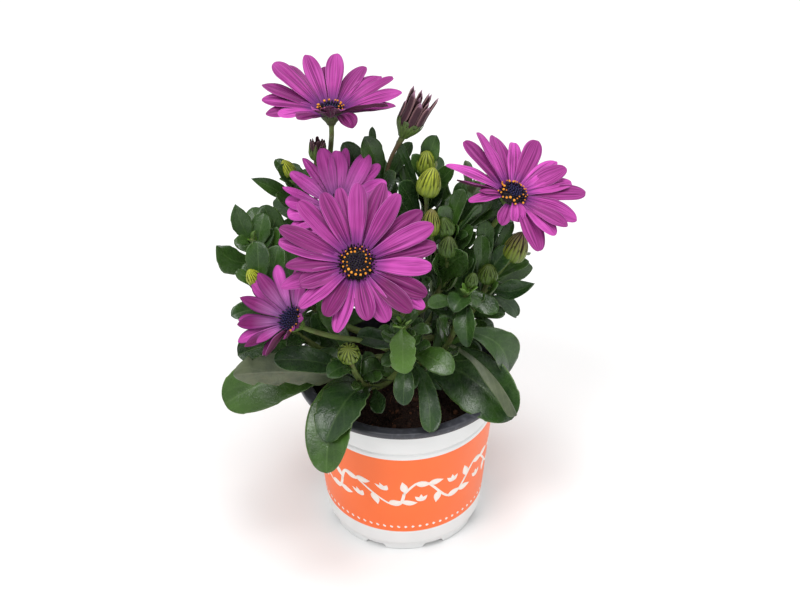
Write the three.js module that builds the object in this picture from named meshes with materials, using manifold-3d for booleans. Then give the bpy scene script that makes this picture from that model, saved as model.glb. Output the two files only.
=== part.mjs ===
// Potted osteospermum (bedding and balcony flower) in a thin plastic pot of the 12 cm trade size.
//
// Frame: millimetres, +Z up, +Y away from the front of the plant, +X to the right.
// The origin is the middle of the pot's underside, on the surface that the pot stands on.
//
// How it is put together: the pot holds the soil, a main stem stands in the soil, leafy shoots branch off
// the main stem, and flower stalks, bud stalks and the large leaves grow from the shoots.
// Pieces that grow from each other stop GAP short of each other, so that every piece is a solid of its own.

import * as THREE from 'three';
import { mergeVertices } from 'three/addons/utils/BufferGeometryUtils.js';
import { ParametricGeometry } from 'three/addons/geometries/ParametricGeometry.js';
import Module from 'manifold-3d';

const wasm = await Module();
wasm.setup();

// ---------------------------------------------------------------- driving dimensions (mm)

const GAP = 0.3;

const pot = {
  height: 102,
  lipRadius: 60,
  lipWidth: 5.2,
  lipDrop: 3.4,
  topRadius: 53.6,
  baseRadius: 45,
  wall: 1.2,
  footHeight: 3,
  footInset: 1.4,
  footWidth: 7,
  padRadius: 12,
  notches: 8,
  notchWidth: 12,
  drainRadius: 3.5,
  drainCircle: 25,
  sides: 32,
};

const soil = {
  top: 92,
  crown: 3,
  sides: 28,
};

const leafShape = { thickness: 1.3, edge: 0.16, petiole: 0.16 };
const budStalkRadius = 1.1;
const petalShape = { thickness: 0.9, foot: 0.32 };
const toLight = new THREE.Vector3(-0.15, -0.75, 0.65).normalize();
const toBackLight = new THREE.Vector3(0.05, 0.7, 0.72).normalize();
const backShoots = ['back', 'back_right'];
const shootLeafSeek = 0.7;

// Stems: where each starts, the point it bends towards, where it ends, and its radius.
const stems = {
  main: { points: [[0, 2, 86], [3, 4, 112], [0, 4, 152]], radius: 3.6 },
  left_upper: { points: [[0, 4, 118], [-48, 8, 116], [-81, 4, 186]], radius: 1.8 },
  left_lower: { points: [[0, 1, 110], [-48, -14, 104], [-77, -21, 172]], radius: 1.8 },
  left_top: { points: [[0, 5, 132], [-40, 24, 140], [-59, 28, 207]], radius: 1.8 },
  centre_top: { points: [[0, 5, 147], [-12, 24, 168], [-15, 28, 222]], radius: 1.8 },
  right_top: { points: [[1, 5, 142], [12, 20, 166], [13, 22, 212]], radius: 1.8 },
  right_mid: { points: [[1, 3, 134], [26, 0, 142], [28, 4, 192]], radius: 1.8 },
  right_outer: { points: [[1, 3, 117], [36, 6, 114], [46, 0, 158]], radius: 1.8 },
  right_lower: { points: [[2, 2, 105], [24, -18, 106], [34, -23, 169]], radius: 1.7 },
  front: { points: [[1, 2, 121], [4, -34, 116], [0, -50, 168]], radius: 1.8 },
  front_left: { points: [[0, 1, 100], [-20, -38, 100], [-28, -53, 150]], radius: 1.8 },
  back: { points: [[0, 5, 124], [-16, 46, 114], [-30, 60, 180]], radius: 1.8 },
  back_right: { points: [[1, 4, 110], [26, 40, 106], [38, 52, 172]], radius: 1.8 },
};

// Large leaves, each a piece of its own. stem and at: where the leaf grows, as a part of the stem's length.
// tip: where the blade ends. arch: rise of the midrib over the straight line. bow: its swing to the side.
// roll: turn of the blade about the midrib, in degrees. fold: how far the two halves fold up. point: 1 for
// a leaf that narrows to a point. seek: the part of the way to the light that the blade turns by itself.
// full: 1 for a leaf that is as broad near its root as near its end.
const largeLeaves = {
  leaf_low_left: { stem: 'front_left', at: 0.1, tip: [-99, -22, 93], width: 29, arch: 14, roll: -42 },
  leaf_low_left_up: {
    stem: 'front_left', at: 0.3, tip: [-90, -44, 132], width: 20, arch: 5,
    roll: 92, point: 0.3, full: 1,
  },
  leaf_low_left_mid: { stem: 'front_left', at: 0.6, tip: [-67, -54, 149], width: 16, arch: 6, roll: -30 },
  leaf_left_edge: { stem: 'left_lower', at: 0.62, tip: [-88, -34, 137], width: 19, arch: 3, roll: -36 },
  leaf_front_left: { stem: 'front_left', at: 0.42, tip: [-41, -68, 105], width: 27, arch: 13, roll: 6 },
  leaf_rim_left: { stem: 'front_left', at: 0.2, tip: [-41, -77, 91], width: 27, arch: 22, bow: 7 },
  leaf_front_bright: { stem: 'front', at: 1, tip: [0, -63, 147], width: 13, arch: 2, full: 1 },
  leaf_front_low: { stem: 'front', at: 0.6, tip: [0, -60, 123], width: 11, arch: 6 },
  leaf_front_long: { stem: 'front', at: 0.3, tip: [14, -60, 104], width: 12, arch: 8, bow: -3 },
  leaf_low_right: { stem: 'main', at: 0.22, tip: [59, -42, 97], width: 33, arch: 16, roll: 42 },
  leaf_under_right: {
    stem: 'right_lower', at: 0.62, tip: [61, -46, 103], width: 13, arch: 8,
    roll: 155, fold: 0.5,
  },
  leaf_right: {
    stem: 'right_lower', at: 0.74, tip: [58, -20, 112], width: 19, arch: 10,
    roll: 12, fold: 0.35, seek: 0.5,
  },
  leaf_right_mid: {
    stem: 'right_mid', at: 0.45, tip: [51, -17, 151], width: 11, arch: 5,
    roll: 4, seek: 0.6,
  },
  leaf_right_hang: {
    stem: 'right_lower', at: 0.98, tip: [34, -44, 149], width: 13, arch: 4,
    roll: 34, fold: 0.5, point: 0.6,
  },
  leaf_right_fold: {
    stem: 'right_outer', at: 0.97, tip: [71, -7, 163], width: 11, arch: -4,
    roll: 0, fold: 0.8, point: 1, seek: 0.9,
  },
  leaf_right_edge: {
    stem: 'right_outer', at: 0.86, tip: [63, 2, 134], width: 9.5, arch: 5,
    roll: 10, seek: 0.6,
  },
  leaf_under_flower: { stem: 'front', at: 0.72, tip: [-24, -38, 152], width: 12, arch: 2, roll: -30 },
};

// Smaller leaves, grown together with their shoot: [at, tip, width, arch, roll, fold], and point for some.
const shootLeaves = {
  left_upper: [
    [0.97, [-88, 8, 206], 11, -2, 0, 0.4, 1],
    [0.94, [-73, 12, 197], 13, 2, 0, 0.3],
    [0.9, [-73, 22, 196], 12, 3, 0, 0.3],
    [0.98, [-88, -4, 190], 6, 1, 0, 0.3],
    [0.9, [-98, -6, 189], 15, -6, -8, -0.3, 0.9],
    [0.9, [-69, 8, 190], 9, 3, 0, 0.3],
    [0.9, [-81, 24, 193], 11, 3, 0, 0.3],
    [0.72, [-63, -8, 187], 12, 3, 0, 0.3],
    [0.7, [-74, 16, 199], 12, 4, 0, 0.3],
    [0.6, [-78, 28, 158], 16, 6, 0, 0.3],
  ],
  left_lower: [
    [0.97, [-76, -8, 193], 13, 2, 0, 0.35],
    [0.9, [-65, -5, 188], 12, 2, 0, 0.35],
    [0.96, [-84, -14, 182], 7, 2, 0, 0.3],
    [0.92, [-81, -20, 177], 7, 2, 0, 0.3],
    [0.85, [-90, -32, 162], 10, 3, -10, 0.3],
    [0.4, [-70, 12, 122], 18, 6, 0, 0.25],
    [0.7, [-58, -22, 172], 12, 3, 0, 0.3],
    [0.7, [-62, -3, 184], 14, 3, 20, 0.3],
  ],
  left_top: [
    [0.92, [-66, 26, 218], 8, 2, 0, 0.4],
    [0.88, [-80, 22, 213], 8.5, 1, 0, 0.5, 1],
    [0.8, [-62, 44, 208], 12, 4, 0, 0.3],
    [0.66, [-70, 46, 184], 13, 5, 0, 0.3],
    [0.5, [-46, 54, 176], 13, 5, 0, 0.3],
  ],
  centre_top: [
    [0.75, [-19, 24, 237], 12, 3, 0, 0.3],
    [0.88, [-15, 34, 237], 4, 1, 0, 0.5],
    [0.7, [-31, 36, 226], 11, 3, 0, 0.3],
    [0.7, [6, 34, 227], 8, 2, 0, 0.4],
    [0.6, [-3, 12, 222], 10, 2, 0, 0.3],
    [0.55, [-14, 54, 206], 13, 4, 0, 0.3],
  ],
  right_top: [
    [0.8, [-2, 26, 233], 5, 1, 0, 0.4],
    [0.85, [19, 26, 236], 11, 3, 0, 0.3],
    [0.88, [6, 20, 228], 8, 2, 0, 0.3],
    [0.6, [-1, 8, 218], 12, 2, 0, 0.3],
    [0.75, [28, 18, 221], 9, 2, 0, 0.4],
    [0.65, [20, 50, 208], 12, 4, 0, 0.3],
    [0.5, [40, 38, 190], 13, 5, 0, 0.3],
    [0.7, [17, 8, 213], 9, 2, 0, 0.3],
  ],
  right_mid: [
    [0.9, [39, 8, 206], 8.5, 2, 0, 0.35],
    [0.92, [56, 20, 197], 11, 3, 0, 0.3],
    [0.9, [48, 20, 200], 10, 3, 0, 0.3],
    [0.88, [33, 12, 216], 8, 2, 0, 0.4],
    [0.93, [42, 4, 207], 6, 1, 70, 0.3],
    [0.88, [35, -4, 193], 5.5, 2, 0, 0.3],
    [0.5, [34, -16, 189], 17, 4, 40, 0.3],
    [0.62, [25, -14, 190], 7, 2, 0, 0.3],
    [0.55, [16, -14, 182], 14, 4, 30, 0.3],
    [0.8, [20, 0, 208], 10, 3, 0, 0.3],
    [0.86, [33, 6, 215], 9, 3, 0, 0.3],
    [0.6, [38, 2, 194], 11, 3, 0, 0.3],
  ],
  right_outer: [
    [0.88, [43, 6, 186], 9.5, 2, 0, 0.3],
    [0.95, [45, 10, 193], 9.5, 2, 0, 0.3],
    [0.96, [60, 12, 190], 6.5, 2, 0, 0.35],
    [0.9, [52, 18, 200], 10, 3, 0, 0.3],
    [0.97, [69, 8, 167], 7, 2, 0, 0.35],
    [0.88, [50, 5, 175], 7, 2, 0, 0.3],
    [0.6, [72, 32, 148], 16, 6, 0, 0.3],
    [0.6, [29, 3, 172], 14, 3, 0, 0.3],
    [0.55, [38, 4, 178], 12, 3, 0, 0.3],
  ],
  right_lower: [
    [0.97, [27, -36, 166], 13, 3, 0, 0.4, 0.35],
    [0.96, [34, -30, 166], 6, 2, 0, 0.3],
    [0.98, [40, -24, 160], 5, 2, 0, 0.3],
    [0.92, [13, -42, 175], 8, 3, 0, 0.3, 0.2],
  ],
  front: [
    [0.85, [15, -50, 164], 7, 4, -10, 0.2],
    [0.96, [8, -44, 172], 6, 2, 0, 0.4],
    [0.96, [-5, -46, 171], 6, 2, 0, 0.4],
    [0.6, [26, -52, 138], 14, 5, 0, 0.25],
  ],
  front_left: [
    [0.85, [-39, -66, 148], 10, 4, 0, 0.3],
    [0.7, [-10, -40, 130], 15, 4, 0, 0.2],
    [0.75, [-46, -34, 136], 13, 4, 0, 0.25],
    [0.8, [-44, -24, 166], 13, 3, 20, 0.3],
  ],
  back: [
    [0.25, [-26, 74, 108], 22, 12, 0, 0.2],
    [0.35, [-52, 60, 112], 20, 9, 0, 0.2],
    [0.5, [6, 76, 132], 18, 8, 0, 0.25],
    [0.62, [-62, 66, 146], 16, 6, 0, 0.25],
    [0.72, [-24, 92, 166], 15, 6, 0, 0.25],
    [0.82, [-8, 70, 192], 13, 4, 0, 0.3],
    [0.9, [-46, 68, 202], 12, 3, 0, 0.3],
    [0.96, [-26, 66, 208], 9, 2, 0, 0.4],
    [0.98, [-36, 56, 204], 8, 2, 0, 0.4],
    [0.3, [-54, 12, 142], 18, 3, -85, 0.2],
    [0.2, [-59, 10, 119], 17, 3, -83, 0.2],
    [0.12, [-30, 8, 146], 13, 3, -98, 0.2],
  ],
  back_right: [
    [0.25, [36, 72, 104], 22, 12, 0, 0.2],
    [0.3, [66, 42, 108], 20, 9, 0, 0.2],
    [0.45, [22, 80, 128], 18, 8, 0, 0.25],
    [0.6, [74, 56, 138], 16, 6, 0, 0.25],
    [0.7, [46, 84, 158], 15, 6, 0, 0.25],
    [0.8, [18, 66, 180], 13, 4, 0, 0.3],
    [0.9, [54, 56, 194], 12, 3, 0, 0.3],
    [0.96, [36, 62, 198], 9, 2, 0, 0.4],
    [0.98, [44, 46, 194], 8, 2, 0, 0.4],
    [0.8, [12, 38, 208], 14, 3, -130, 0.2],
    [0.5, [9, 20, 160], 14, 3, -132, 0.2],
    [0.7, [38, 30, 184], 12, 3, 156, 0.2],
    [0.4, [52, 12, 131], 13, 3, 86, 0.2],
  ],
};

// Flowers. centre: middle of the disc. azimuth and elevation: where the flower faces.
// stalk: where it grows, and the points that it passes on its way up to the flower.
// lean: how far the rays turn about their midlines, everywhere and by the cosine of their direction.
// rays: [direction in the flower's plane, length from the middle, rise at the root, curl along the ray],
// and for some a part of the full width, and an extra lean.
const flowers = {
  front: {
    centre: [-22.6, -50, 208],
    azimuth: -90,
    elevation: 50,
    rayWidth: 10.2,
    disc: 8.7,
    lean: [9, 0],
    stalk: { stem: 'main', at: 0.86, via: [[-11, -14, 170]] },
    rays: [
      [89, 41, 16, -12], [73, 45, 2, -8], [57, 41, 15, -12], [41, 43, 6, -10], [26, 43, 15, -12],
      [12, 41, 8, -10], [352, 38, 14, -10], [333, 39, 10, -12], [326, 41, 1, -8, 0.9],
      [316, 38, 14, -12], [297, 34, 7, -12], [280, 31, 14, -14], [255, 37, 2, -8], [238, 32, 14, -14],
      [218, 37, 8, -10], [202, 31, 16, -12], [196, 40, 2, -8, 0.9], [181, 36, 14, -10],
      [165, 41, 5, -8], [155, 43, 12, -10], [134, 43, 8, -8], [116, 40, 14, -10], [103, 42, 0, -6, 0.9],
    ],
  },
  top: {
    centre: [-36, 20, 256],
    azimuth: 90,
    elevation: 84,
    rayWidth: 9.8,
    disc: 6.8,
    lean: [0, 17],
    stalk: { stem: 'left_top', at: 0.6, via: [[-40, 37, 198], [-37, 32, 230]] },
    rays: [
      [357, 39, 26, -14], [20, 38, 32, -14], [44, 36, 22, -14], [63, 38, 31, -14], [85, 38, 44, -16],
      [99, 33, 36, -12, 0.8], [115, 40, 40, -16], [137, 38, 38, -16], [150, 41, 38, -14],
      [162, 40, 26, -20], [172, 37, 18, -20], [184, 34, 10, -26], [212, 31, 20, -20, 0.9],
      [232, 29, 28, -16, 0.9], [250, 27, 36, -16, 0.8], [268, 26, 44, -12, 0.9],
      [286, 26, 38, -16, 0.8], [303, 24, 40, -80], [328, 37, 32, -20, 1, -34],
      [343, 36, 22, -14, 0.9, -14],
    ],
  },
  right: {
    centre: [57.7, -6, 219.3],
    azimuth: -32,
    elevation: 69,
    rayWidth: 10.8,
    disc: 7.2,
    lean: [9, 0],
    stalk: { stem: 'right_mid', at: 0.62, via: [[37, 12, 170], [49, 9, 190]] },
    rays: [
      [160, 38, 10, -20], [137, 39, 14, -10], [120, 40, 16, -8], [102, 41, 12, -12],
      [89, 36, 16, -12, 0.9], [70, 42, 16, -12], [50, 38, 12, -12, 0.8], [40, 39, 16, -12],
      [27, 38, 10, -14], [16, 43, 10, -12], [353, 37, 4, -14], [332, 33, 8, -14], [322, 31, 0, -14],
      [303, 33, -6, -34, 1.1], [284, 17, 24, -100, 0.95], [254, 18, -12, -50, 0.75],
      [196, 24, -4, -30, 0.75], [182, 18, 26, -70, 0.75], [171, 30, -4, -10, 0.5, 30],
    ],
  },
  back: {
    centre: [-33.7, 4, 204.8],
    azimuth: -92,
    elevation: 54,
    rayWidth: 9.6,
    disc: 7.8,
    lean: [9, 0],
    stalk: { stem: 'centre_top', at: 0.3, via: [[-14, 22, 168], [-31, 20, 184]] },
    rays: [
      [8, 30, 16, -10], [28, 30, 20, -10], [48, 33, 12, -10, 0.7], [58, 34, 22, -14],
      [80, 34, 14, -8, 0.6], [89, 32, 22, -12], [106, 34, 22, -12], [121, 34, 16, -10, 0.6],
      [141, 32, 18, -14], [163, 32, 26, -8, 0.5], [174, 28, 14, -10], [190, 27, 18, -10],
      [208, 27, 12, -10], [226, 27, 18, -10], [244, 27, 12, -10], [262, 27, 18, -10],
      [280, 27, 12, -10], [298, 28, 18, -10], [316, 29, 12, -10], [334, 30, 18, -10],
      [352, 30, 12, -10],
    ],
  },
  young: {
    centre: [-57, -52, 174],
    azimuth: -149,
    elevation: 47,
    rayWidth: 7.8,
    disc: 6.2,
    lean: [4, 0],
    stalk: { stem: 'front', at: 0.5, via: [[-18, -38, 148], [-38, -46, 159]] },
    rays: [
      [93, 31, 24, -10], [116, 34, 28, -10], [131, 37, 16, -8], [146, 35, 24, -8],
      [165, 35, 12, -8, 0.8], [174, 32, 24, -10], [188, 33, 14, -10], [203, 29, 24, -12, 0.9],
      [214, 22, 34, -12, 0.7], [226, 24, 16, -12, 0.9], [244, 25, 30, -10, 0.8, 70],
      [268, 14, 40, -10, 0.6, 30], [296, 11.5, 40, -10, 0.5], [322, 11.5, 40, -10, 0.5],
      [345, 13, 34, -10, 0.7], [20, 20, 34, -20], [46, 22, 34, -16], [70, 27, 26, -10],
    ],
  },
};

// Buds. foot: underside of the head. top: its tip. radius: widest. stalk: where it grows and bends.
const buds = {
  bud_opening: {
    foot: [1, 25, 236], top: [13, 28, 262], radius: 7, open: true,
    stem: 'centre_top', at: 0.62, via: [-6, 23, 222],
  },
  bud_spent: {
    foot: [-45, 30, 219], top: [-44, 31, 232], radius: 4.2, open: true,
    stem: 'left_top', at: 0.72, via: [-46, 29, 208],
  },
  bud_left_top: {
    foot: [-59, 28, 211], top: [-63, 29, 220], radius: 3.4,
    stem: 'left_top', at: 0.98, via: [-59, 28, 210],
  },
  bud_top: {
    foot: [13, 22, 217], top: [14, 22, 229], radius: 5.2,
    stem: 'right_top', at: 0.98, via: [13, 22, 215],
  },
  bud_yellow: {
    foot: [13, 6, 212], top: [17, 7, 228], radius: 5.7,
    stem: 'right_top', at: 0.4, via: [13, 7, 198],
  },
  bud_mid_high: {
    foot: [15, -4, 194], top: [16, -5, 210], radius: 4.6,
    stem: 'right_mid', at: 0.6, via: [18, -3, 182],
  },
  bud_mid: {
    foot: [24, -3, 193], top: [22, -4, 204], radius: 4.2,
    stem: 'right_mid', at: 0.86, via: [26, 0, 188],
  },
  bud_mid_low: {
    foot: [24, -9, 184], top: [25, -10, 196], radius: 4.5,
    stem: 'right_mid', at: 0.7, via: [24, -6, 176],
  },
  bud_right: {
    foot: [59, 5, 171], top: [65, 5, 188], radius: 6.2,
    stem: 'right_outer', at: 0.86, via: [54, 4, 164],
  },
  bud_right_tip: {
    foot: [46, -1, 161], top: [47, -2, 172], radius: 4.9,
    stem: 'right_outer', at: 0.98, via: [46, 0, 159],
  },
  bud_right_low: {
    foot: [36, -20, 172], top: [38, -21, 180], radius: 3,
    stem: 'right_lower', at: 0.96, via: [35, -21, 169],
  },
  bud_front: {
    foot: [-28, -54, 152], top: [-28, -60, 161], radius: 5.2,
    stem: 'front_left', at: 0.97, via: [-28, -53, 151],
  },
  bud_left: {
    foot: [-77, -21, 176], top: [-80, -23, 185], radius: 3.5,
    stem: 'left_lower', at: 0.97, via: [-77, -21, 174],
  },
};

// ---------------------------------------------------------------- materials

const finish = (color, roughness) => new THREE.MeshStandardMaterial({ color, roughness, metalness: 0 });
const finishes = {
  pot: finish('#e8e7e3', 0.45),
  soil: finish('#231713', 0.95),
  stem: finish('#5d6a3a', 0.6),
  leaf: finish('#3a5a2c', 0.45),
  ray: finish('#b23fa0', 0.6),
  disc: finish('#2b1f3a', 0.8),
  bud: finish('#8f9a3c', 0.6),
  budDark: finish('#4a2a3c', 0.6),
};

// ---------------------------------------------------------------- solids

const vec = (p) => new THREE.Vector3(...p);

// A closed geometry as a solid: shared corners are merged, collapsed faces go, and faces point outwards.
function solid(geometry) {
  const bare = new THREE.BufferGeometry();
  bare.setAttribute('position', geometry.getAttribute('position').clone());
  const order = geometry.index ? geometry.index.array : null;
  if (order) bare.setIndex([...order]);
  const merged = mergeVertices(bare, 1e-4);
  const points = merged.getAttribute('position').array;
  const corners = [];
  for (let i = 0; i < merged.index.count; i += 3) {
    const [a, b, c] = [0, 1, 2].map((k) => merged.index.getX(i + k));
    if (a !== b && b !== c && c !== a) corners.push(a, b, c);
  }
  const mesh = () => new wasm.Mesh({
    numProp: 3,
    vertProperties: Float32Array.from(points),
    triVerts: Uint32Array.from(corners),
  });
  const body = new wasm.Manifold(mesh());
  if (body.volume() > 0) return body;
  for (let i = 0; i < corners.length; i += 3) [corners[i], corners[i + 1]] = [corners[i + 1], corners[i]];
  return new wasm.Manifold(mesh());
}

const join = (bodies) => bodies.reduce((whole, body) => whole.add(body));

// The same body, with the sealed hollows filled that crossing leaves can leave between them.
const filled = (body) => join(body.decompose().filter((part) => part.volume() > 0));

// The pieces of a body that a cut has parted: the one nearest to the point where the body grows.
function rooted(body, root) {
  const parts = body.decompose().filter((part) => part.volume() > 1);
  if (parts.length < 2) return parts[0] ?? body;
  const reach = (part) => {
    const { min, max } = part.boundingBox();
    const box = new THREE.Box3(vec(min), vec(max));
    return box.distanceToPoint(root) - 0.001 * part.volume();
  };
  return parts.sort((a, b) => reach(a) - reach(b))[0];
}

// ---------------------------------------------------------------- curves

function stemCurve({ points }, extra = 0) {
  const [start, bend, end] = points.map(vec);
  end.addScaledVector(end.clone().sub(bend).normalize(), extra);
  return new THREE.QuadraticBezierCurve3(start, bend, end);
}

const stemCurves = Object.fromEntries(Object.entries(stems).map(([name, stem]) => [name, stemCurve(stem)]));

function circle(radius, sides) {
  const outline = new THREE.Shape();
  for (let k = 0; k < sides; k += 1) {
    const angle = (2 * Math.PI * k) / sides;
    outline[k ? 'lineTo' : 'moveTo'](radius * Math.cos(angle), radius * Math.sin(angle));
  }
  return outline;
}

function tube(curve, radius, steps, sides = 8) {
  const settings = { extrudePath: curve, steps, bevelEnabled: false };
  return solid(new THREE.ExtrudeGeometry(circle(radius, sides), settings));
}

function lathe(profile, sides) {
  const points = profile.map(([r, h]) => new THREE.Vector2(r, h));
  return solid(new THREE.LatheGeometry(points, sides).rotateX(Math.PI / 2));
}

// A body modelled along +Z, moved so that +Z is axis and the origin is place.
function placed(body, place, axis) {
  const across = new THREE.Vector3(1, 0, 0).addScaledVector(axis, -axis.x).normalize();
  const up = new THREE.Vector3().crossVectors(axis, across);
  const frame = new THREE.Matrix4().makeBasis(across, up, axis).setPosition(place);
  return body.transform(frame.elements);
}

// ---------------------------------------------------------------- leaves

// A leaf blade. The midrib runs from the root to the tip, raised by arch and swung by bow at its middle.
// The half-width is a narrow foot that widens to a round end, or by point to a pointed one. Across, the
// blade is thick at the midrib and thin at the edges, and its halves fold up. The blade turns about the
// midrib by roll, and by seek towards the light. swell thickens it all round, for clearances.
function blade(root, leaf, swell = 0) {
  const { width, arch = 0, bow = 0, roll = 0, fold = 0.25, point = 0, seek = 0, full = 0 } = leaf;
  const light = leaf.light ?? toLight;
  const chord = vec(leaf.tip).sub(root);
  const along = chord.clone().normalize();
  const up = new THREE.Vector3(0, 0, 1).addScaledVector(along, -along.z).normalize();
  const side = new THREE.Vector3().crossVectors(along, up);
  const turn = THREE.MathUtils.degToRad(roll) + seek * Math.atan2(light.dot(side), light.dot(up));
  const across = side.clone().multiplyScalar(Math.cos(turn)).addScaledVector(up, -Math.sin(turn));
  const surface = (u, v, target) => {
    const t = Math.sin((v * Math.PI) / 2);
    const hump = 4 * t * (1 - t);
    const lean = 4 * (1 - 2 * t);
    const tangent = chord.clone().addScaledVector(up, arch * lean).addScaledVector(side, bow * lean);
    tangent.normalize();
    const right = across.clone().addScaledVector(tangent, -across.dot(tangent)).normalize();
    const out = new THREE.Vector3().crossVectors(right, tangent);
    const broad = Math.min(1, t / (0.45 - 0.25 * full)) ** 1.2;
    const blunt = Math.sin(Math.PI * t ** (1.8 - 0.3 * full)) ** 0.6 * (0.25 + 0.75 * broad);
    const bell = (1 - point) * (blunt || 0) + point * Math.max(0, Math.sin(Math.PI * t ** 1.3)) ** 0.9;
    const end = v === 0 || v === 1 ? 0 : 1;
    const half = end * ((width / 2) * Math.max(bell, leafShape.petiole * (1 - t)) + swell);
    const lateral = Math.cos(2 * Math.PI * u);
    const height = Math.sin(2 * Math.PI * u);
    const skin = end * (leafShape.edge + (leafShape.thickness / 2) * Math.abs(height) + swell);
    target.copy(root).addScaledVector(chord, t);
    target.addScaledVector(up, arch * hump).addScaledVector(side, bow * hump);
    target.addScaledVector(right, half * lateral);
    target.addScaledVector(out, fold * half * Math.abs(lateral) ** 1.6 + skin * height);
    if (v === 0) target.addScaledVector(tangent, -swell);
    if (v === 1) target.addScaledVector(tangent, swell);
  };
  const stacks = Math.min(5, Math.max(3, Math.round(width / 3)));
  return solid(new ParametricGeometry(surface, 4, stacks));
}

// ---------------------------------------------------------------- flowers

// One ray floret in the flower's own frame. Its midline leaves the root at the rise angle and turns by
// curl over its length, so it is an arc. It is widest past its middle, and turned about its midline.
function ray({ disc, rayWidth, lean }, [direction, reach, rise, curl, part = 1, extra = 0], swell = 0) {
  const width = part * rayWidth;
  const foot = 0.9 * disc;
  const length = reach - foot;
  const start = THREE.MathUtils.degToRad(rise);
  const bend = THREE.MathUtils.degToRad(curl);
  const turn = THREE.MathUtils.degToRad(direction);
  const twist = THREE.MathUtils.degToRad(lean[0] + lean[1] * Math.cos(turn) + extra);
  const surface = (u, v, target) => {
    const t = Math.sin((v * Math.PI) / 2);
    const slope = start + bend * t;
    const out = foot + (length * (Math.sin(slope) - Math.sin(start))) / bend;
    const lift = (length * (Math.cos(start) - Math.cos(slope))) / bend;
    const full = Math.sqrt(Math.sin(Math.PI * t * t)) * Math.min(1, t / 0.4);
    const end = v === 0 || v === 1 ? 0 : 1;
    const half = end * ((width / 2) * Math.max(full || 0, petalShape.foot * (1 - t)) + swell);
    const flat = half * Math.cos(2 * Math.PI * u);
    const skin = end * (petalShape.thickness / 2 + swell) * Math.sin(2 * Math.PI * u);
    const lateral = flat * Math.cos(twist) - skin * Math.sin(twist);
    const normal = flat * Math.sin(twist) + skin * Math.cos(twist);
    const r = out - normal * Math.sin(slope);
    target.x = r * Math.cos(turn) - lateral * Math.sin(turn);
    target.y = r * Math.sin(turn) + lateral * Math.cos(turn);
    target.z = lift + normal * Math.cos(slope);
  };
  return solid(new ParametricGeometry(surface, 4, 3));
}

// Heights in the flower's frame: the rays stand on a ring, the disc lies on it and the cup is below it.
const ring = { inner: 0.7, outer: 0.98, bottom: -1.8, top: 0.5 };
const discHeight = 2.6;
const cupDepth = 8;
const stalkRadius = 1.25;

function rayRing(flower, swell = 0) {
  const { rays, disc } = flower;
  const [inner, outer] = [ring.inner * disc - swell, ring.outer * disc + swell];
  const [low, high] = [ring.bottom - swell, ring.top + swell];
  const base = lathe([[inner, low], [outer, low], [outer, high], [inner, high], [inner, low]], 16);
  return join([base, ...rays.map((entry) => ray(flower, entry, swell))]);
}

function discDome({ disc }) {
  const edge = 0.84 * disc;
  const low = ring.top + GAP;
  const high = low + discHeight;
  const rim = [[edge, low], [edge, low + 0.9], [0.75 * edge, high]];
  return lathe([[0, low], ...rim, [0, high - 0.3 * discHeight]], 12);
}

function cup({ disc }, swell = 0) {
  const top = ring.bottom - GAP + swell;
  const wide = 0.9 * disc + swell;
  const waist = [0.62 * disc + swell, -5];
  return lathe([[0, -cupDepth - swell], [1.9 + swell, -cupDepth], waist, [wide, top], [0, top]], 12);
}

const facing = ({ azimuth, elevation }) => {
  const [a, e] = [azimuth, elevation].map(THREE.MathUtils.degToRad);
  return new THREE.Vector3(Math.cos(a) * Math.cos(e), Math.sin(a) * Math.cos(e), Math.sin(e));
};

// The stalk runs from its stem through the via points to the underside of the cup.
function stalk(from, via, to, axis, swell = 0) {
  const last = to.clone().addScaledVector(axis, -5);
  const route = new THREE.CatmullRomCurve3([from, ...via.map(vec), last, to], false, 'centripetal');
  return tube(route, stalkRadius + swell, 9, 5);
}

// A bud head along +Z: closed ones are egg-shaped, an opening one is a brush of rolled rays in a cup.
function budHead({ radius, open }, height, swell = 0) {
  const shape = open
    ? [[0, 0], [0.5, 0.02], [0.85, 0.2], [0.8, 0.42], [1, 0.86], [0.7, 1], [0, 0.96]]
    : [[0, 0], [0.55, 0.03], [0.95, 0.28], [1, 0.5], [0.72, 0.82], [0.3, 0.98], [0, 1]];
  const raised = (h) => h * height + (h > 0.5 ? swell : -swell);
  return lathe(shape.map(([r, h]) => [r ? r * radius + swell : 0, raised(h)]), 8);
}

// ---------------------------------------------------------------- pot and soil

const potFloor = pot.footHeight + pot.wall;
const innerEdge = pot.height - 1.8;

// The inside of the wall is a plain cone from the floor to the inner edge of the lip.
function innerRadius(z) {
  const low = pot.baseRadius - pot.wall - pot.footInset;
  const high = pot.topRadius - pot.wall;
  return low + ((high - low) * (z - potFloor)) / (innerEdge - potFloor);
}

function potWall() {
  const { baseRadius, topRadius, height, wall, lipRadius, lipDrop, footHeight, footInset, footWidth } = pot;
  const foot = baseRadius - footInset;
  const lipUnder = height - wall;
  const neck = { low: 0.78 * height, step: 0.7 };
  const outer = (z) => baseRadius + ((topRadius - baseRadius) * z) / height;
  const profile = [
    [0, 0], [pot.padRadius, 0], [pot.padRadius + 1.5, footHeight], [foot - footWidth, footHeight],
    [foot - footWidth, 0], [foot, 0], [foot, 2 * footHeight], [baseRadius, 2 * footHeight + 0.8],
    [outer(neck.low) - neck.step, neck.low], [outer(neck.low), neck.low + neck.step],
    [topRadius, lipUnder - wall],
    [topRadius + wall, lipUnder], [lipRadius - wall, lipUnder], [lipRadius - wall, height - lipDrop],
    [lipRadius, height - lipDrop], [lipRadius, height - 0.8], [lipRadius - 0.8, height],
    [lipRadius - pot.lipWidth, height], [topRadius - wall, innerEdge], [innerRadius(potFloor), potFloor],
    [0, potFloor],
  ];
  return lathe(profile, pot.sides);
}

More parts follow.
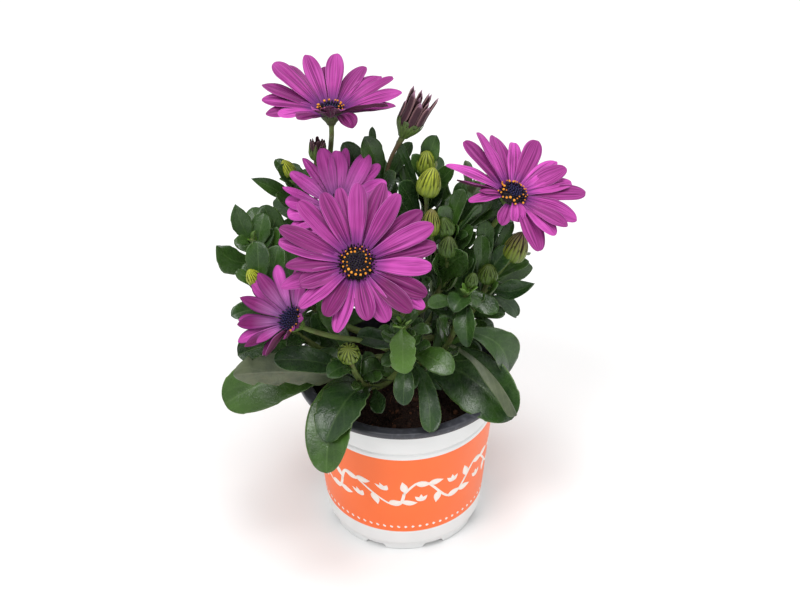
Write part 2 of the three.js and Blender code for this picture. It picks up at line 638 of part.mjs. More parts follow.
// Notches through the foot ring let water out from the drain holes, which lie in a circle between
// the middle pad and the foot ring.
function drainage() {
  const cuts = [];
  for (let k = 0; k < pot.notches; k += 1) {
    const angle = (2 * Math.PI * (k + 0.5)) / pot.notches;
    const notch = new THREE.BoxGeometry(2 * pot.footWidth + 4, pot.notchWidth, pot.footHeight);
    notch.translate(pot.baseRadius - pot.footWidth / 2, 0, 0).rotateZ(angle);
    cuts.push(solid(notch));
    const hole = new THREE.CylinderGeometry(pot.drainRadius, pot.drainRadius, 4 * pot.wall, 12);
    hole.rotateX(Math.PI / 2).translate(pot.drainCircle, 0, potFloor).rotateZ(angle);
    cuts.push(solid(hole));
  }
  return join(cuts);
}

function soilBody() {
  const [low, high] = [potFloor + GAP, soil.top];
  const profile = [
    [0, low], [innerRadius(low) - GAP - 0.2, low], [innerRadius(high) - GAP - 0.2, high],
    [30, high + 1], [10, high + soil.crown], [0, high + soil.crown],
  ];
  return lathe(profile, soil.sides);
}

// ---------------------------------------------------------------- assembly

// Every finished piece, with a slightly larger copy of it that later pieces are cut by.
const pieces = [];

function boxesMeet(a, b) {
  const [p, q] = [a.boundingBox(), b.boundingBox()];
  return [0, 1, 2].every((k) => p.min[k] < q.max[k] && q.min[k] < p.max[k]);
}

function cleared(body, others = pieces) {
  const cut = (rest, { keepOut }) => (boxesMeet(rest, keepOut) ? rest.subtract(keepOut) : rest);
  return others.reduce(cut, body);
}

function add(name, body, keepOut, material) {
  pieces.push({ name, body, keepOut, material });
}

const stemTube = (name, swell) => tube(stemCurve(stems[name], swell), stems[name].radius + swell, 8, 5);

// The main stem stands in the soil, and the soil in the pot.
add('main_stem', stemTube('main', 0), stemTube('main', GAP), finishes.stem);
const potBody = potWall().subtract(drainage());
add('soil', cleared(soilBody()), soilBody().translate([0, 0, GAP]), finishes.soil);
add('pot', potBody, potWall(), finishes.pot);

// Shoot stems first, because everything else grows from them.
const shootNames = Object.keys(stems).filter((name) => name !== 'main');
const shootStems = [];
for (const name of shootNames) {
  const body = rooted(cleared(stemTube(name, 0), [...pieces, ...shootStems]), stemCurves[name].getPoint(1));
  shootStems.push({ name, body, keepOut: stemTube(name, GAP), material: finishes.leaf });
}
const fixed = [...pieces, ...shootStems];

const underCup = (flower) => vec(flower.centre).addScaledVector(facing(flower), -cupDepth + 0.5);
const blossoms = [];
for (const [name, flower] of Object.entries(flowers)) {
  const centre = vec(flower.centre);
  const axis = facing(flower);
  const root = stemCurves[flower.stalk.stem].getPoint(flower.stalk.at);
  const holder = (swell) => join([
    placed(cup(flower, swell), centre, axis),
    stalk(root, flower.stalk.via, underCup(flower), axis, swell),
  ]);
  const others = [...fixed, ...blossoms];
  const keep = (piece, body, keepOut, material) => blossoms.push({
    name: `flower_${name}_${piece}`, body, keepOut, material,
  });
  keep('stalk', rooted(cleared(holder(0), others), centre), holder(GAP), finishes.stem);
  const rays = (swell) => placed(rayRing(flower, swell), centre, axis);
  keep('rays', rooted(cleared(rays(0), others), centre), rays(GAP), finishes.ray);
  const dome = placed(discDome(flower), centre, axis);
  keep('disc', dome, dome, finishes.disc);
}

for (const [name, bud] of Object.entries(buds)) {
  const foot = vec(bud.foot);
  const axis = vec(bud.top).sub(foot);
  const height = axis.length();
  axis.normalize();
  const root = stemCurves[bud.stem].getPoint(bud.at);
  const underHead = foot.clone().addScaledVector(axis, 1);
  const whole = (swell) => join([
    placed(budHead(bud, height, swell), foot, axis),
    tube(new THREE.CatmullRomCurve3([root, vec(bud.via), underHead]), budStalkRadius + swell, 6, 5),
  ]);
  const middle = foot.clone().addScaledVector(axis, height / 2);
  const body = rooted(cleared(whole(0), [...fixed, ...blossoms]), middle);
  blossoms.push({ name, body, keepOut: whole(GAP), material: bud.open ? finishes.budDark : finishes.bud });
}
pieces.push(...blossoms);

// Shoots: the stem with its own small leaves, each leaf kept clear of everything made so far.
for (const { name, body, keepOut, material } of shootStems) {
  const others = [...pieces, ...shootStems.filter((stem) => stem.name !== name)];
  const light = backShoots.includes(name) ? toBackLight : toLight;
  const leaves = shootLeaves[name].map(([at, tip, width, arch, roll, fold, point = 0]) => {
    const root = stemCurves[name].getPoint(at);
    const leaf = { tip, width, arch, roll, fold, point, seek: shootLeafSeek, light };
    return { cut: rooted(cleared(blade(root, leaf), others), root), swollen: blade(root, leaf, GAP) };
  });
  add(`shoot_${name}`, filled(join([body, ...leaves.map(({ cut }) => cut)])),
    join([keepOut, ...leaves.map(({ swollen }) => swollen)]), material);
}

for (const [name, leaf] of Object.entries(largeLeaves)) {
  const root = stemCurves[leaf.stem].getPoint(leaf.at);
  add(name, rooted(cleared(blade(root, leaf)), vec(leaf.tip)), blade(root, leaf, GAP), finishes.leaf);
}

function meshOf({ name, body, material }) {
  const { vertProperties, triVerts } = body.getMesh();
  const geometry = new THREE.BufferGeometry();
  geometry.setAttribute('position', new THREE.BufferAttribute(vertProperties, 3));
  geometry.setIndex(new THREE.BufferAttribute(triVerts, 1));
  geometry.computeVertexNormals();
  const mesh = new THREE.Mesh(geometry, material);
  mesh.name = name;
  return mesh;
}

const plant = new THREE.Group();
plant.name = 'potted_osteospermum';
plant.add(...pieces.map(meshOf));

export default plant;
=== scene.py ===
"""Looks of a potted osteospermum: a bushy, daisy-like balcony plant in a thin thermoformed nursery pot.

Lengths are in millimetres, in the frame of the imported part: +Z up, -Y to the front. Only the camera, the
floor and the lights are given in metres. A shape is worked out as arrays of rings of points, and each
finished piece is written once, in metres.
"""
import math

import bpy
import numpy as np
from mathutils import Matrix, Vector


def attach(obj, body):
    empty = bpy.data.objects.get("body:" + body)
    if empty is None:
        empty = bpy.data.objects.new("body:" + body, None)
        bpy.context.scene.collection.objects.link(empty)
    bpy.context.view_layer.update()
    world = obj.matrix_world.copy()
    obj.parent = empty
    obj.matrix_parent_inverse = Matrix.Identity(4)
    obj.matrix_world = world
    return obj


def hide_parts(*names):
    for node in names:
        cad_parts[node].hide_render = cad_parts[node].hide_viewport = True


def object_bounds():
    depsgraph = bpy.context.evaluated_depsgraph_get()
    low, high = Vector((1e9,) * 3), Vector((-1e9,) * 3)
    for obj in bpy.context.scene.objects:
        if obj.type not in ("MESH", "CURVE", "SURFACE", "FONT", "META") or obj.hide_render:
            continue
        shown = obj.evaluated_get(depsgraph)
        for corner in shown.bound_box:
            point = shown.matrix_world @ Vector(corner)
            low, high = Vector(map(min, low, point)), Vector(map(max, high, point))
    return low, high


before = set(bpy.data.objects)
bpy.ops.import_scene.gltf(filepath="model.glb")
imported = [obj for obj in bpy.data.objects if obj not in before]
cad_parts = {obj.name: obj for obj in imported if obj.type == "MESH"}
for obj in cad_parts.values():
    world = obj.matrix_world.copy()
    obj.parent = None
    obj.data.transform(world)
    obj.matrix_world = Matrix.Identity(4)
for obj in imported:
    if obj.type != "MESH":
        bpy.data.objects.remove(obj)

cad_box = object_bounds()

MM = 0.001
GOLDEN_ANGLE = math.pi * (3 - math.sqrt(5))
UPWARDS = np.array([0.0, 0.0, 1.0])
rng = np.random.default_rng(11)

# ------------------------------------------------------------------ growth tables (mm)

# Stems: start, the point that the stem bends towards, end, and radius.
STEMS = {
    "main": ([(0, 2, 86), (3, 4, 112), (0, 4, 152)], 3.6),
    "left_upper": ([(0, 4, 118), (-48, 8, 116), (-81, 4, 186)], 1.8),
    "left_lower": ([(0, 1, 110), (-48, -14, 104), (-77, -21, 172)], 1.8),
    "left_top": ([(0, 5, 132), (-40, 24, 140), (-59, 28, 207)], 1.8),
    "centre_top": ([(0, 5, 147), (-12, 24, 168), (-15, 28, 222)], 1.8),
    "right_top": ([(1, 5, 142), (12, 20, 166), (13, 22, 212)], 1.8),
    "right_mid": ([(1, 3, 134), (26, 0, 142), (28, 4, 192)], 1.8),
    "right_outer": ([(1, 3, 117), (36, 6, 114), (46, 0, 158)], 1.8),
    "right_lower": ([(2, 2, 105), (24, -18, 106), (34, -23, 169)], 1.7),
    "front": ([(1, 2, 121), (4, -34, 116), (0, -50, 168)], 1.8),
    "front_left": ([(0, 1, 100), (-20, -38, 100), (-28, -53, 150)], 1.8),
    "back": ([(0, 5, 124), (-16, 46, 114), (-30, 60, 180)], 1.8),
    "back_right": ([(1, 4, 110), (26, 40, 106), (38, 52, 172)], 1.8),
}

# Large leaves. stem, at: where the leaf grows. tip: where it ends. arch: rise of the midrib over the
# straight line. bow: its swing to the side. roll: turn about the midrib, in degrees. fold: how far the
# halves fold up. teeth, depth: coarse teeth on each margin. young: 1 for bright new growth. point: 1 for a
# leaf with a pointed end. full: 1 for one that is as broad near its root as near its end. seek: the part of
# the way to the light that the blade turns by itself.
LARGE_LEAVES = {
    "leaf_low_left": dict(stem="front_left", at=0.1, tip=(-99, -22, 93), width=29, arch=14, roll=-42,
                          teeth=3, depth=0.06, young=0.2),
    "leaf_low_left_up": dict(stem="front_left", at=0.3, tip=(-90, -44, 132), width=20, arch=5, roll=92,
                             point=0.3, teeth=4, depth=0.4, full=1.0),
    "leaf_low_left_mid": dict(stem="front_left", at=0.6, tip=(-67, -54, 149), width=16, arch=6, roll=-30,
                              teeth=2, depth=0.06),
    "leaf_left_edge": dict(stem="left_lower", at=0.62, tip=(-88, -34, 137), width=19, arch=3, roll=-36),
    "leaf_front_left": dict(stem="front_left", at=0.42, tip=(-41, -68, 105), width=27, arch=13, roll=6,
                            teeth=5, depth=0.16),
    "leaf_rim_left": dict(stem="front_left", at=0.2, tip=(-41, -77, 91), width=27, arch=22, bow=7, teeth=2,
                          depth=0.06, young=0.12),
    "leaf_front_bright": dict(stem="front", at=1.0, tip=(0, -63, 147), width=13, arch=2, teeth=3,
                              depth=0.14, young=0.4, full=1.0),
    "leaf_front_low": dict(stem="front", at=0.6, tip=(0, -60, 123), width=11, arch=6),
    "leaf_front_long": dict(stem="front", at=0.3, tip=(14, -60, 104), width=12, arch=8, bow=-3),
    "leaf_low_right": dict(stem="main", at=0.22, tip=(59, -42, 97), width=33, arch=16, roll=42, teeth=3,
                           depth=0.06),
    "leaf_under_right": dict(stem="right_lower", at=0.62, tip=(61, -46, 103), width=13, arch=8, roll=155,
                             fold=0.5, teeth=2, depth=0.06),
    "leaf_right": dict(stem="right_lower", at=0.74, tip=(58, -20, 112), width=19, arch=10, roll=12,
                       fold=0.35, seek=0.5, teeth=2, depth=0.06),
    "leaf_right_mid": dict(stem="right_mid", at=0.45, tip=(51, -17, 151), width=11, arch=5, roll=4,
                           seek=0.6),
    "leaf_right_hang": dict(stem="right_lower", at=0.98, tip=(34, -44, 149), width=13, arch=4, roll=34,
                            fold=0.5, point=0.6, teeth=3, depth=0.1),
    "leaf_right_fold": dict(stem="right_outer", at=0.97, tip=(71, -7, 163), width=11, arch=-4, roll=0,
                            fold=0.8, point=1.0, seek=0.9),
    "leaf_right_edge": dict(stem="right_outer", at=0.86, tip=(63, 2, 134), width=9.5, arch=5, roll=10,
                            seek=0.6),
    "leaf_under_flower": dict(stem="front", at=0.72, tip=(-24, -38, 152), width=12, arch=2, roll=-30),
}

# Smaller leaves that belong to their shoot: at, tip, width, arch, roll, fold, and point for some.
SHOOT_LEAVES = {
    "left_upper": [
        (0.97, (-88, 8, 206), 11, -2, 0, 0.4, 1.0), (0.94, (-73, 12, 197), 13, 2, 0, 0.3),
        (0.9, (-73, 22, 196), 12, 3, 0, 0.3), (0.98, (-88, -4, 190), 6, 1, 0, 0.3),
        (0.9, (-98, -6, 189), 15, -6, -8, -0.3, 0.9), (0.9, (-69, 8, 190), 9, 3, 0, 0.3),
        (0.9, (-81, 24, 193), 11, 3, 0, 0.3), (0.72, (-63, -8, 187), 12, 3, 0, 0.3),
        (0.7, (-74, 16, 199), 12, 4, 0, 0.3), (0.6, (-78, 28, 158), 16, 6, 0, 0.3),
    ],
    "left_lower": [
        (0.97, (-76, -8, 193), 13, 2, 0, 0.35), (0.9, (-65, -5, 188), 12, 2, 0, 0.35),
        (0.96, (-84, -14, 182), 7, 2, 0, 0.3), (0.92, (-81, -20, 177), 7, 2, 0, 0.3),
        (0.85, (-90, -32, 162), 10, 3, -10, 0.3), (0.4, (-70, 12, 122), 18, 6, 0, 0.25),
        (0.7, (-58, -22, 172), 12, 3, 0, 0.3), (0.7, (-62, -3, 184), 14, 3, 20, 0.3),
    ],
    "left_top": [
        (0.92, (-66, 26, 218), 8, 2, 0, 0.4), (0.88, (-80, 22, 213), 8.5, 1, 0, 0.5, 1.0),
        (0.8, (-62, 44, 208), 12, 4, 0, 0.3), (0.66, (-70, 46, 184), 13, 5, 0, 0.3),
        (0.5, (-46, 54, 176), 13, 5, 0, 0.3),
    ],
    "centre_top": [
        (0.75, (-19, 24, 237), 12, 3, 0, 0.3), (0.88, (-15, 34, 237), 4, 1, 0, 0.5),
        (0.7, (-31, 36, 226), 11, 3, 0, 0.3), (0.7, (6, 34, 227), 8, 2, 0, 0.4),
        (0.6, (-3, 12, 222), 10, 2, 0, 0.3), (0.55, (-14, 54, 206), 13, 4, 0, 0.3),
    ],
    "right_top": [
        (0.8, (-2, 26, 233), 5, 1, 0, 0.4), (0.85, (19, 26, 236), 11, 3, 0, 0.3),
        (0.88, (6, 20, 228), 8, 2, 0, 0.3), (0.6, (-1, 8, 218), 12, 2, 0, 0.3),
        (0.75, (28, 18, 221), 9, 2, 0, 0.4), (0.65, (20, 50, 208), 12, 4, 0, 0.3),
        (0.5, (40, 38, 190), 13, 5, 0, 0.3), (0.7, (17, 8, 213), 9, 2, 0, 0.3),
    ],
    "right_mid": [
        (0.9, (39, 8, 206), 8.5, 2, 0, 0.35), (0.92, (56, 20, 197), 11, 3, 0, 0.3),
        (0.9, (48, 20, 200), 10, 3, 0, 0.3), (0.88, (33, 12, 216), 8, 2, 0, 0.4),
        (0.93, (42, 4, 207), 6, 1, 70, 0.3), (0.88, (35, -4, 193), 5.5, 2, 0, 0.3),
        (0.5, (34, -16, 189), 17, 4, 40, 0.3), (0.62, (25, -14, 190), 7, 2, 0, 0.3),
        (0.55, (16, -14, 182), 14, 4, 30, 0.3), (0.8, (20, 0, 208), 10, 3, 0, 0.3),
        (0.86, (33, 6, 215), 9, 3, 0, 0.3), (0.6, (38, 2, 194), 11, 3, 0, 0.3),
    ],
    "right_outer": [
        (0.88, (43, 6, 186), 9.5, 2, 0, 0.3), (0.95, (45, 10, 193), 9.5, 2, 0, 0.3),
        (0.96, (60, 12, 190), 6.5, 2, 0, 0.35), (0.9, (52, 18, 200), 10, 3, 0, 0.3),
        (0.97, (69, 8, 167), 7, 2, 0, 0.35), (0.88, (50, 5, 175), 7, 2, 0, 0.3),
        (0.6, (72, 32, 148), 16, 6, 0, 0.3), (0.6, (29, 3, 172), 14, 3, 0, 0.3),
        (0.55, (38, 4, 178), 12, 3, 0, 0.3),
    ],
    "right_lower": [
        (0.97, (27, -36, 166), 13, 3, 0, 0.4, 0.35), (0.96, (34, -30, 166), 6, 2, 0, 0.3),
        (0.98, (40, -24, 160), 5, 2, 0, 0.3), (0.92, (13, -42, 175), 8, 3, 0, 0.3, 0.2),
    ],
    "front": [
        (0.85, (15, -50, 164), 7, 4, -10, 0.2), (0.96, (8, -44, 172), 6, 2, 0, 0.4),
        (0.96, (-5, -46, 171), 6, 2, 0, 0.4), (0.6, (26, -52, 138), 14, 5, 0, 0.25),
    ],
    "front_left": [
        (0.85, (-39, -66, 148), 10, 4, 0, 0.3), (0.7, (-10, -40, 130), 15, 4, 0, 0.2),
        (0.75, (-46, -34, 136), 13, 4, 0, 0.25), (0.8, (-44, -24, 166), 13, 3, 20, 0.3),
    ],
    "back": [
        (0.25, (-26, 74, 108), 22, 12, 0, 0.2), (0.35, (-52, 60, 112), 20, 9, 0, 0.2),
        (0.5, (6, 76, 132), 18, 8, 0, 0.25), (0.62, (-62, 66, 146), 16, 6, 0, 0.25),
        (0.72, (-24, 92, 166), 15, 6, 0, 0.25), (0.82, (-8, 70, 192), 13, 4, 0, 0.3),
        (0.9, (-46, 68, 202), 12, 3, 0, 0.3), (0.96, (-26, 66, 208), 9, 2, 0, 0.4),
        (0.98, (-36, 56, 204), 8, 2, 0, 0.4), (0.3, (-54, 12, 142), 18, 3, -85, 0.2),
        (0.2, (-59, 10, 119), 17, 3, -83, 0.2), (0.12, (-30, 8, 146), 13, 3, -98, 0.2),
    ],
    "back_right": [
        (0.25, (36, 72, 104), 22, 12, 0, 0.2), (0.3, (66, 42, 108), 20, 9, 0, 0.2),
        (0.45, (22, 80, 128), 18, 8, 0, 0.25), (0.6, (74, 56, 138), 16, 6, 0, 0.25),
        (0.7, (46, 84, 158), 15, 6, 0, 0.25), (0.8, (18, 66, 180), 13, 4, 0, 0.3),
        (0.9, (54, 56, 194), 12, 3, 0, 0.3), (0.96, (36, 62, 198), 9, 2, 0, 0.4),
        (0.98, (44, 46, 194), 8, 2, 0, 0.4), (0.8, (12, 38, 208), 14, 3, -130, 0.2),
        (0.5, (9, 20, 160), 14, 3, -132, 0.2), (0.7, (38, 30, 184), 12, 3, 156, 0.2),
        (0.4, (52, 12, 131), 13, 3, 86, 0.2),
    ],
}

# Flowers. azimuth, elevation: the way it looks, in degrees. width: greatest width of a ray. stem, at, via:
# where the stalk grows and bends. open_from: how far out the disc florets are open, as a part of the disc.
# pollen: from where to where they show it, and how many of them. side: the only side with pollen. blue: how
# blue the closed ones are. foot, ring: where the rays start and the disc ends, as parts of disc. dome:
# height of its middle. narrow: a ray's width at its foot, as a part of the greatest. blunt: 0.5 for a ray
# with a round end, 1 for a pointed one. cup: how much the rays' margins rise. lean: how far each leans onto
# the next, everywhere and times the cosine of its direction, in degrees. pale: 1 for young rays, pale at
# the foot; on the back flower it is also painted light. tone_and_painted_light: how much lighter the rays
# are, partly their own colour and partly painted light or shade that evens out how much light reaches
# each flower. flushed: how dark the cup is.
# rays: direction in the flower's plane, reach from the middle, rise at the root, curl, and for some a part
# of the width and an extra lean.
FLOWERS = {
    "front": dict(
        centre=(-22.6, -50, 208), azimuth=-90, elevation=50, width=10.2, disc=8.7, open_from=0.44,
        # The front flower's rays are drawn darker: painted shade that makes up for the strong light on them.
        pollen=(0.46, 0.8, 0.5), blue=0.2, tone_and_painted_light=-0.1,
        stem="main", at=0.86, via=[(-11, -14, 170)],
        rays=[
            (89, 41, 16, -12), (73, 45, 2, -8), (57, 41, 15, -12), (41, 43, 6, -10), (26, 43, 15, -12),
            (12, 41, 8, -10), (352, 38, 14, -10), (333, 39, 10, -12), (326, 41, 1, -8, 0.9),
            (316, 38, 14, -12), (297, 34, 7, -12), (280, 31, 14, -14), (255, 37, 2, -8),
            (238, 32, 14, -14), (218, 37, 8, -10), (202, 31, 16, -12), (196, 40, 2, -8, 0.9),
            (181, 36, 14, -10), (165, 41, 5, -8), (155, 43, 12, -10), (134, 43, 8, -8), (116, 40, 14, -10),
            (103, 42, 0, -6, 0.9),
        ],
    ),
    "top": dict(
        centre=(-36, 20, 256), azimuth=90, elevation=84, width=9.8, disc=6.8, open_from=0.6,
        pollen=(0.7, 1.0, 0.6), blue=0.6, blunt=0.55, lean=(0, 17), foot=1.0, ring=0.9, dome=0.8,
        flushed=0.8,
        stem="left_top", at=0.6, via=[(-40, 37, 198), (-37, 32, 230)],
        rays=[
            (357, 39, 26, -14), (20, 38, 32, -14), (44, 36, 22, -14), (63, 38, 31, -14), (85, 38, 44, -16),
            (99, 33, 36, -12, 0.8), (115, 40, 40, -16), (137, 38, 38, -16), (150, 41, 38, -14),
            (162, 40, 26, -20), (172, 37, 18, -20), (184, 34, 10, -26), (212, 31, 20, -20, 0.9),
            (232, 29, 28, -16, 0.9), (250, 27, 36, -16, 0.8), (268, 26, 44, -12, 0.9),
            (286, 26, 38, -16, 0.8), (303, 24, 40, -80), (328, 37, 32, -20, 1.0, -34),
            (343, 36, 22, -14, 0.9, -14),
        ],
    ),
    "right": dict(
        centre=(57.7, -6, 219.3), azimuth=-32, elevation=69, width=10.8, disc=7.2, open_from=0.56,
        # The right flower's rays are drawn lighter: painted light for the light that falls on them from
        # above.
        pollen=(0.62, 1.0, 0.55), blue=1.0, dome=2.6, ring=1.02, tone_and_painted_light=0.15,
        stem="right_mid", at=0.62, via=[(37, 12, 170), (49, 9, 190)],
        rays=[
            (160, 38, 10, -20), (137, 39, 14, -10), (120, 40, 16, -8), (102, 41, 12, -12),
            (89, 36, 16, -12, 0.9), (70, 42, 16, -12), (50, 38, 12, -12, 0.8), (40, 39, 16, -12),
            (27, 38, 10, -14), (16, 43, 10, -12), (353, 37, 4, -14), (332, 33, 8, -14), (322, 31, 0, -14),
            (303, 33, -6, -34, 1.1), (284, 17, 24, -100, 0.95), (254, 18, -12, -50, 0.75),
            (196, 24, -4, -30, 0.75), (182, 18, 26, -70, 0.75), (171, 30, -4, -10, 0.5, 30),
        ],
    ),
    "back": dict(
        centre=(-33.7, 4, 204.8), azimuth=-92, elevation=54, width=9.6, disc=7.8, open_from=0.6,
        # The back flower's rays are drawn lighter and paler: painted light where the top flower's shadow
        # keeps the light off them.
        pollen=(0.6, 0.95, 0.6), side=300, blue=0.5, pale=0.6, cup=1.6, tone_and_painted_light=1.0,
        stem="centre_top", at=0.3, via=[(-14, 22, 168), (-31, 20, 184)],
        rays=[
            (8, 30, 16, -10), (28, 30, 20, -10), (48, 33, 12, -10, 0.7), (58, 34, 22, -14),
            (80, 34, 14, -8, 0.6), (89, 32, 22, -12), (106, 34, 22, -12), (121, 34, 16, -10, 0.6),
            (141, 32, 18, -14), (163, 32, 26, -8, 0.5), (174, 28, 14, -10), (190, 27, 18, -10),
            (208, 27, 12, -10), (226, 27, 18, -10), (244, 27, 12, -10), (262, 27, 18, -10),
            (280, 27, 12, -10), (298, 28, 18, -10), (316, 29, 12, -10), (334, 30, 18, -10),
            (352, 30, 12, -10),
        ],
    ),
    "young": dict(
        centre=(-57, -52, 174), azimuth=-149, elevation=47, width=7.8, disc=6.2, open_from=0.88,
        pollen=(0.86, 1.0, 0.4), side=350, blue=1.0, blunt=0.74, cup=1.8, pale=0.8, tone_and_painted_light=-0.1, dome=1.8,
        lean=(4, 0), narrow=0.24,
        stem="front", at=0.5, via=[(-18, -38, 148), (-38, -46, 159)],
        rays=[
            (93, 31, 24, -10), (116, 34, 28, -10), (131, 37, 16, -8), (146, 35, 24, -8),
            (165, 35, 12, -8, 0.8), (174, 32, 24, -10), (188, 33, 14, -10), (203, 29, 24, -12, 0.9),
            (214, 22, 34, -12, 0.7), (226, 24, 16, -12, 0.9), (244, 25, 30, -10, 0.8, 70),
            (268, 14, 40, -10, 0.6, 30), (296, 11.5, 40, -10, 0.5), (322, 11.5, 40, -10, 0.5),
            (345, 13, 34, -10, 0.7), (20, 20, 34, -20), (46, 22, 34, -16), (70, 27, 26, -10),
        ],
    ),
}

# Buds. foot: underside of the head. top: its tip. stem, at, via: where the stalk grows and bends. ripe: 0
# for a green bud, 1 for one whose rolled rays show dark purple-brown lines. yellow: how yellow its ridges
# are. form: opening or spent, where it isn't closed. flushed: how dark the stalk is below the head.
BUDS = {
    "bud_opening": dict(foot=(1, 25, 236), top=(13, 28, 262), radius=7, form="opening", flushed=0.8,
                        stem="centre_top", at=0.62, via=(-6, 23, 222)),
    "bud_spent": dict(foot=(-45, 30, 219), top=(-44, 31, 232), radius=4.2, form="spent",
                      stem="left_top", at=0.72, via=(-46, 29, 208)),
    "bud_left_top": dict(foot=(-59, 28, 211), top=(-63, 29, 220), radius=3.4, ripe=0.1, yellow=0.9,
                         stem="left_top", at=0.98, via=(-59, 28, 210)),
    "bud_top": dict(foot=(13, 22, 217), top=(14, 22, 229), radius=5.2, ripe=0.1, yellow=0.45,
                    stem="right_top", at=0.98, via=(13, 22, 215)),
    "bud_yellow": dict(foot=(13, 6, 212), top=(17, 7, 228), radius=5.7, ripe=0.2, yellow=0.65,
                       stem="right_top", at=0.4, via=(13, 7, 198)),
    "bud_mid_high": dict(foot=(15, -4, 194), top=(16, -5, 210), radius=4.6, ripe=0.6, yellow=0.45,
                         stem="right_mid", at=0.6, via=(18, -3, 182)),
    "bud_mid": dict(foot=(24, -3, 193), top=(22, -4, 204), radius=4.2, ripe=0.1, yellow=0.0,
                    stem="right_mid", at=0.86, via=(26, 0, 188)),
    "bud_mid_low": dict(foot=(24, -9, 184), top=(25, -10, 196), radius=4.5, ripe=0.2, yellow=0.0,
                        stem="right_mid", at=0.7, via=(24, -6, 176)),
    "bud_right": dict(foot=(59, 5, 171), top=(65, 5, 188), radius=6.2, ripe=0.9, yellow=0.35,
                      stem="right_outer", at=0.86, via=(54, 4, 164)),
    "bud_right_tip": dict(foot=(46, -1, 161), top=(47, -2, 172), radius=4.9, ripe=0.1, yellow=0.05,
                          stem="right_outer", at=0.98, via=(46, 0, 159)),
    "bud_right_low": dict(foot=(36, -20, 172), top=(38, -21, 180), radius=3.0, ripe=0.1, yellow=0.0,
                          stem="right_lower", at=0.96, via=(35, -21, 169)),
    "bud_front": dict(foot=(-28, -54, 152), top=(-28, -60, 161), radius=5.2, ripe=0.1, yellow=0.2,
                      stem="front_left", at=0.97, via=(-28, -53, 151)),
    "bud_left": dict(foot=(-77, -21, 176), top=(-80, -23, 185), radius=3.5, ripe=0.1, yellow=1.0,
                     stem="left_lower", at=0.97, via=(-77, -21, 174)),
}

# Pot: a thermoformed cone with a rolled lip, a stepped neck and a notched foot ring.
POT = dict(height=102, lip_radius=60, lip_width=5.2, lip_drop=3.4, top_radius=53.6, base_radius=45,
           wall=1.2, foot_height=3, foot_inset=1.4, foot_width=7, pad_radius=12, notches=8,
           notch_width=12, drain_radius=3.5, drain_circle=25, neck=79.5, neck_step=0.7)
BAND = dict(low=17, high=76)

# Print: how many waves the garland has round the pot and how high they are, the width of its line, length
# and width of a leaf and of a petal, and the number and size of the dots in the line under it.
PRINT = dict(waves=8, reach=9.0, line=1.5, leaf=(9.0, 4.4), petal=(5.5, 2.6), dots=72, dot=1.8)

# Soil: level of its top, height and width of its crown, how many waves, crumbs and fibres it has, and half
# the side and the step of the grid of its heights.
SOIL = dict(top=92, crown=3, crown_width=26, waves=14, crumbs=1100, fibres=70, half=60, step=0.5)


# ------------------------------------------------------------------ arrays and skins

def unit(vectors):
    """Vectors divided by their lengths."""
    vectors = np.asarray(vectors, float)
    return vectors / np.linalg.norm(vectors, axis=-1, keepdims=True)


def smooth(low, high, values):
    """0 below low, 1 above high, and a soft S between."""
    share = np.clip((np.asarray(values, float) - low) / (high - low), 0, 1)
    return share * share * (3 - 2 * share)


def circle(count):
    """Angles spread evenly round a full turn."""
    return np.linspace(0, 2 * np.pi, count, endpoint=False)


def swept(radius, angle, height):
    """Points round +Z, from arrays of radius, angle and height."""
    return np.stack([radius * np.cos(angle), radius * np.sin(angle), height + 0 * angle], -1)


def skin(rings, tip=None, finish=0, **marks):
    """A closed skin over rings of points, or over many alike at once.

    rings[..., i, j] is point j of ring i. Rings next to each other are joined by quads all the way round,
    and both end rings are closed by a fan to their middle, or to the point tip. marks are values by point,
    by ring or for all, which become attributes. finish is the number of the material, for all or by ring.
    """
    rings = np.asarray(rings, float)
    if rings.ndim == 3:
        rings = rings[None]
    count, rows, cols = rings.shape[:3]
    last = rings[:, -1].mean(1, keepdims=True) if tip is None else np.reshape(tip, (count, 1, 3))
    points = np.concatenate([rings.reshape(count, -1, 3), rings[:, 0].mean(1, keepdims=True), last], 1)
    here = np.arange(rows * cols).reshape(rows, cols)
    beside = np.roll(here, -1, axis=1)
    quads = np.stack([here[:-1], beside[:-1], beside[1:], here[1:]], -1).reshape(-1, 4)
    foot, head = np.full(cols, rows * cols), np.full(cols, rows * cols + 1)
    fans = np.concatenate([np.stack([beside[0], here[0], foot], -1),
                           np.stack([here[-1], beside[-1], head], -1)])
    halves = np.concatenate([quads[:, :3], quads[:, [0, 2, 3]], fans])
    a, b, c = (points[0][halves[:, k]] for k in range(3))
    if np.einsum("ij,ij->", a, np.cross(b, c)) < 0:
        quads, fans = quads[:, ::-1], fans[:, ::-1]
    steps = np.arange(count)[:, None, None] * (rows * cols + 2)
    by_ring = np.broadcast_to(np.asarray(finish), rows)
    values = {}
    for name, mark in marks.items():
        full = np.broadcast_to(np.asarray(mark, float), (count, rows, cols))
        ends = [full[:, 0].mean(1, keepdims=True), full[:, -1].mean(1, keepdims=True)]
        values[name] = np.concatenate([full.reshape(count, -1), *ends], 1).ravel()
    return dict(
        points=points.reshape(-1, 3),
        quads=(quads + steps).reshape(-1, 4),
        fans=(fans + steps).reshape(-1, 3),
        quad_finish=np.tile(np.repeat(by_ring[:-1], cols), count),
        fan_finish=np.tile(np.repeat(by_ring[[0, -1]], cols), count),
        marks=values,
    )


def linked(name, data):
    """A new object in the scene."""
    obj = bpy.data.objects.new(name, data)
    bpy.context.scene.collection.objects.link(obj)
    return obj


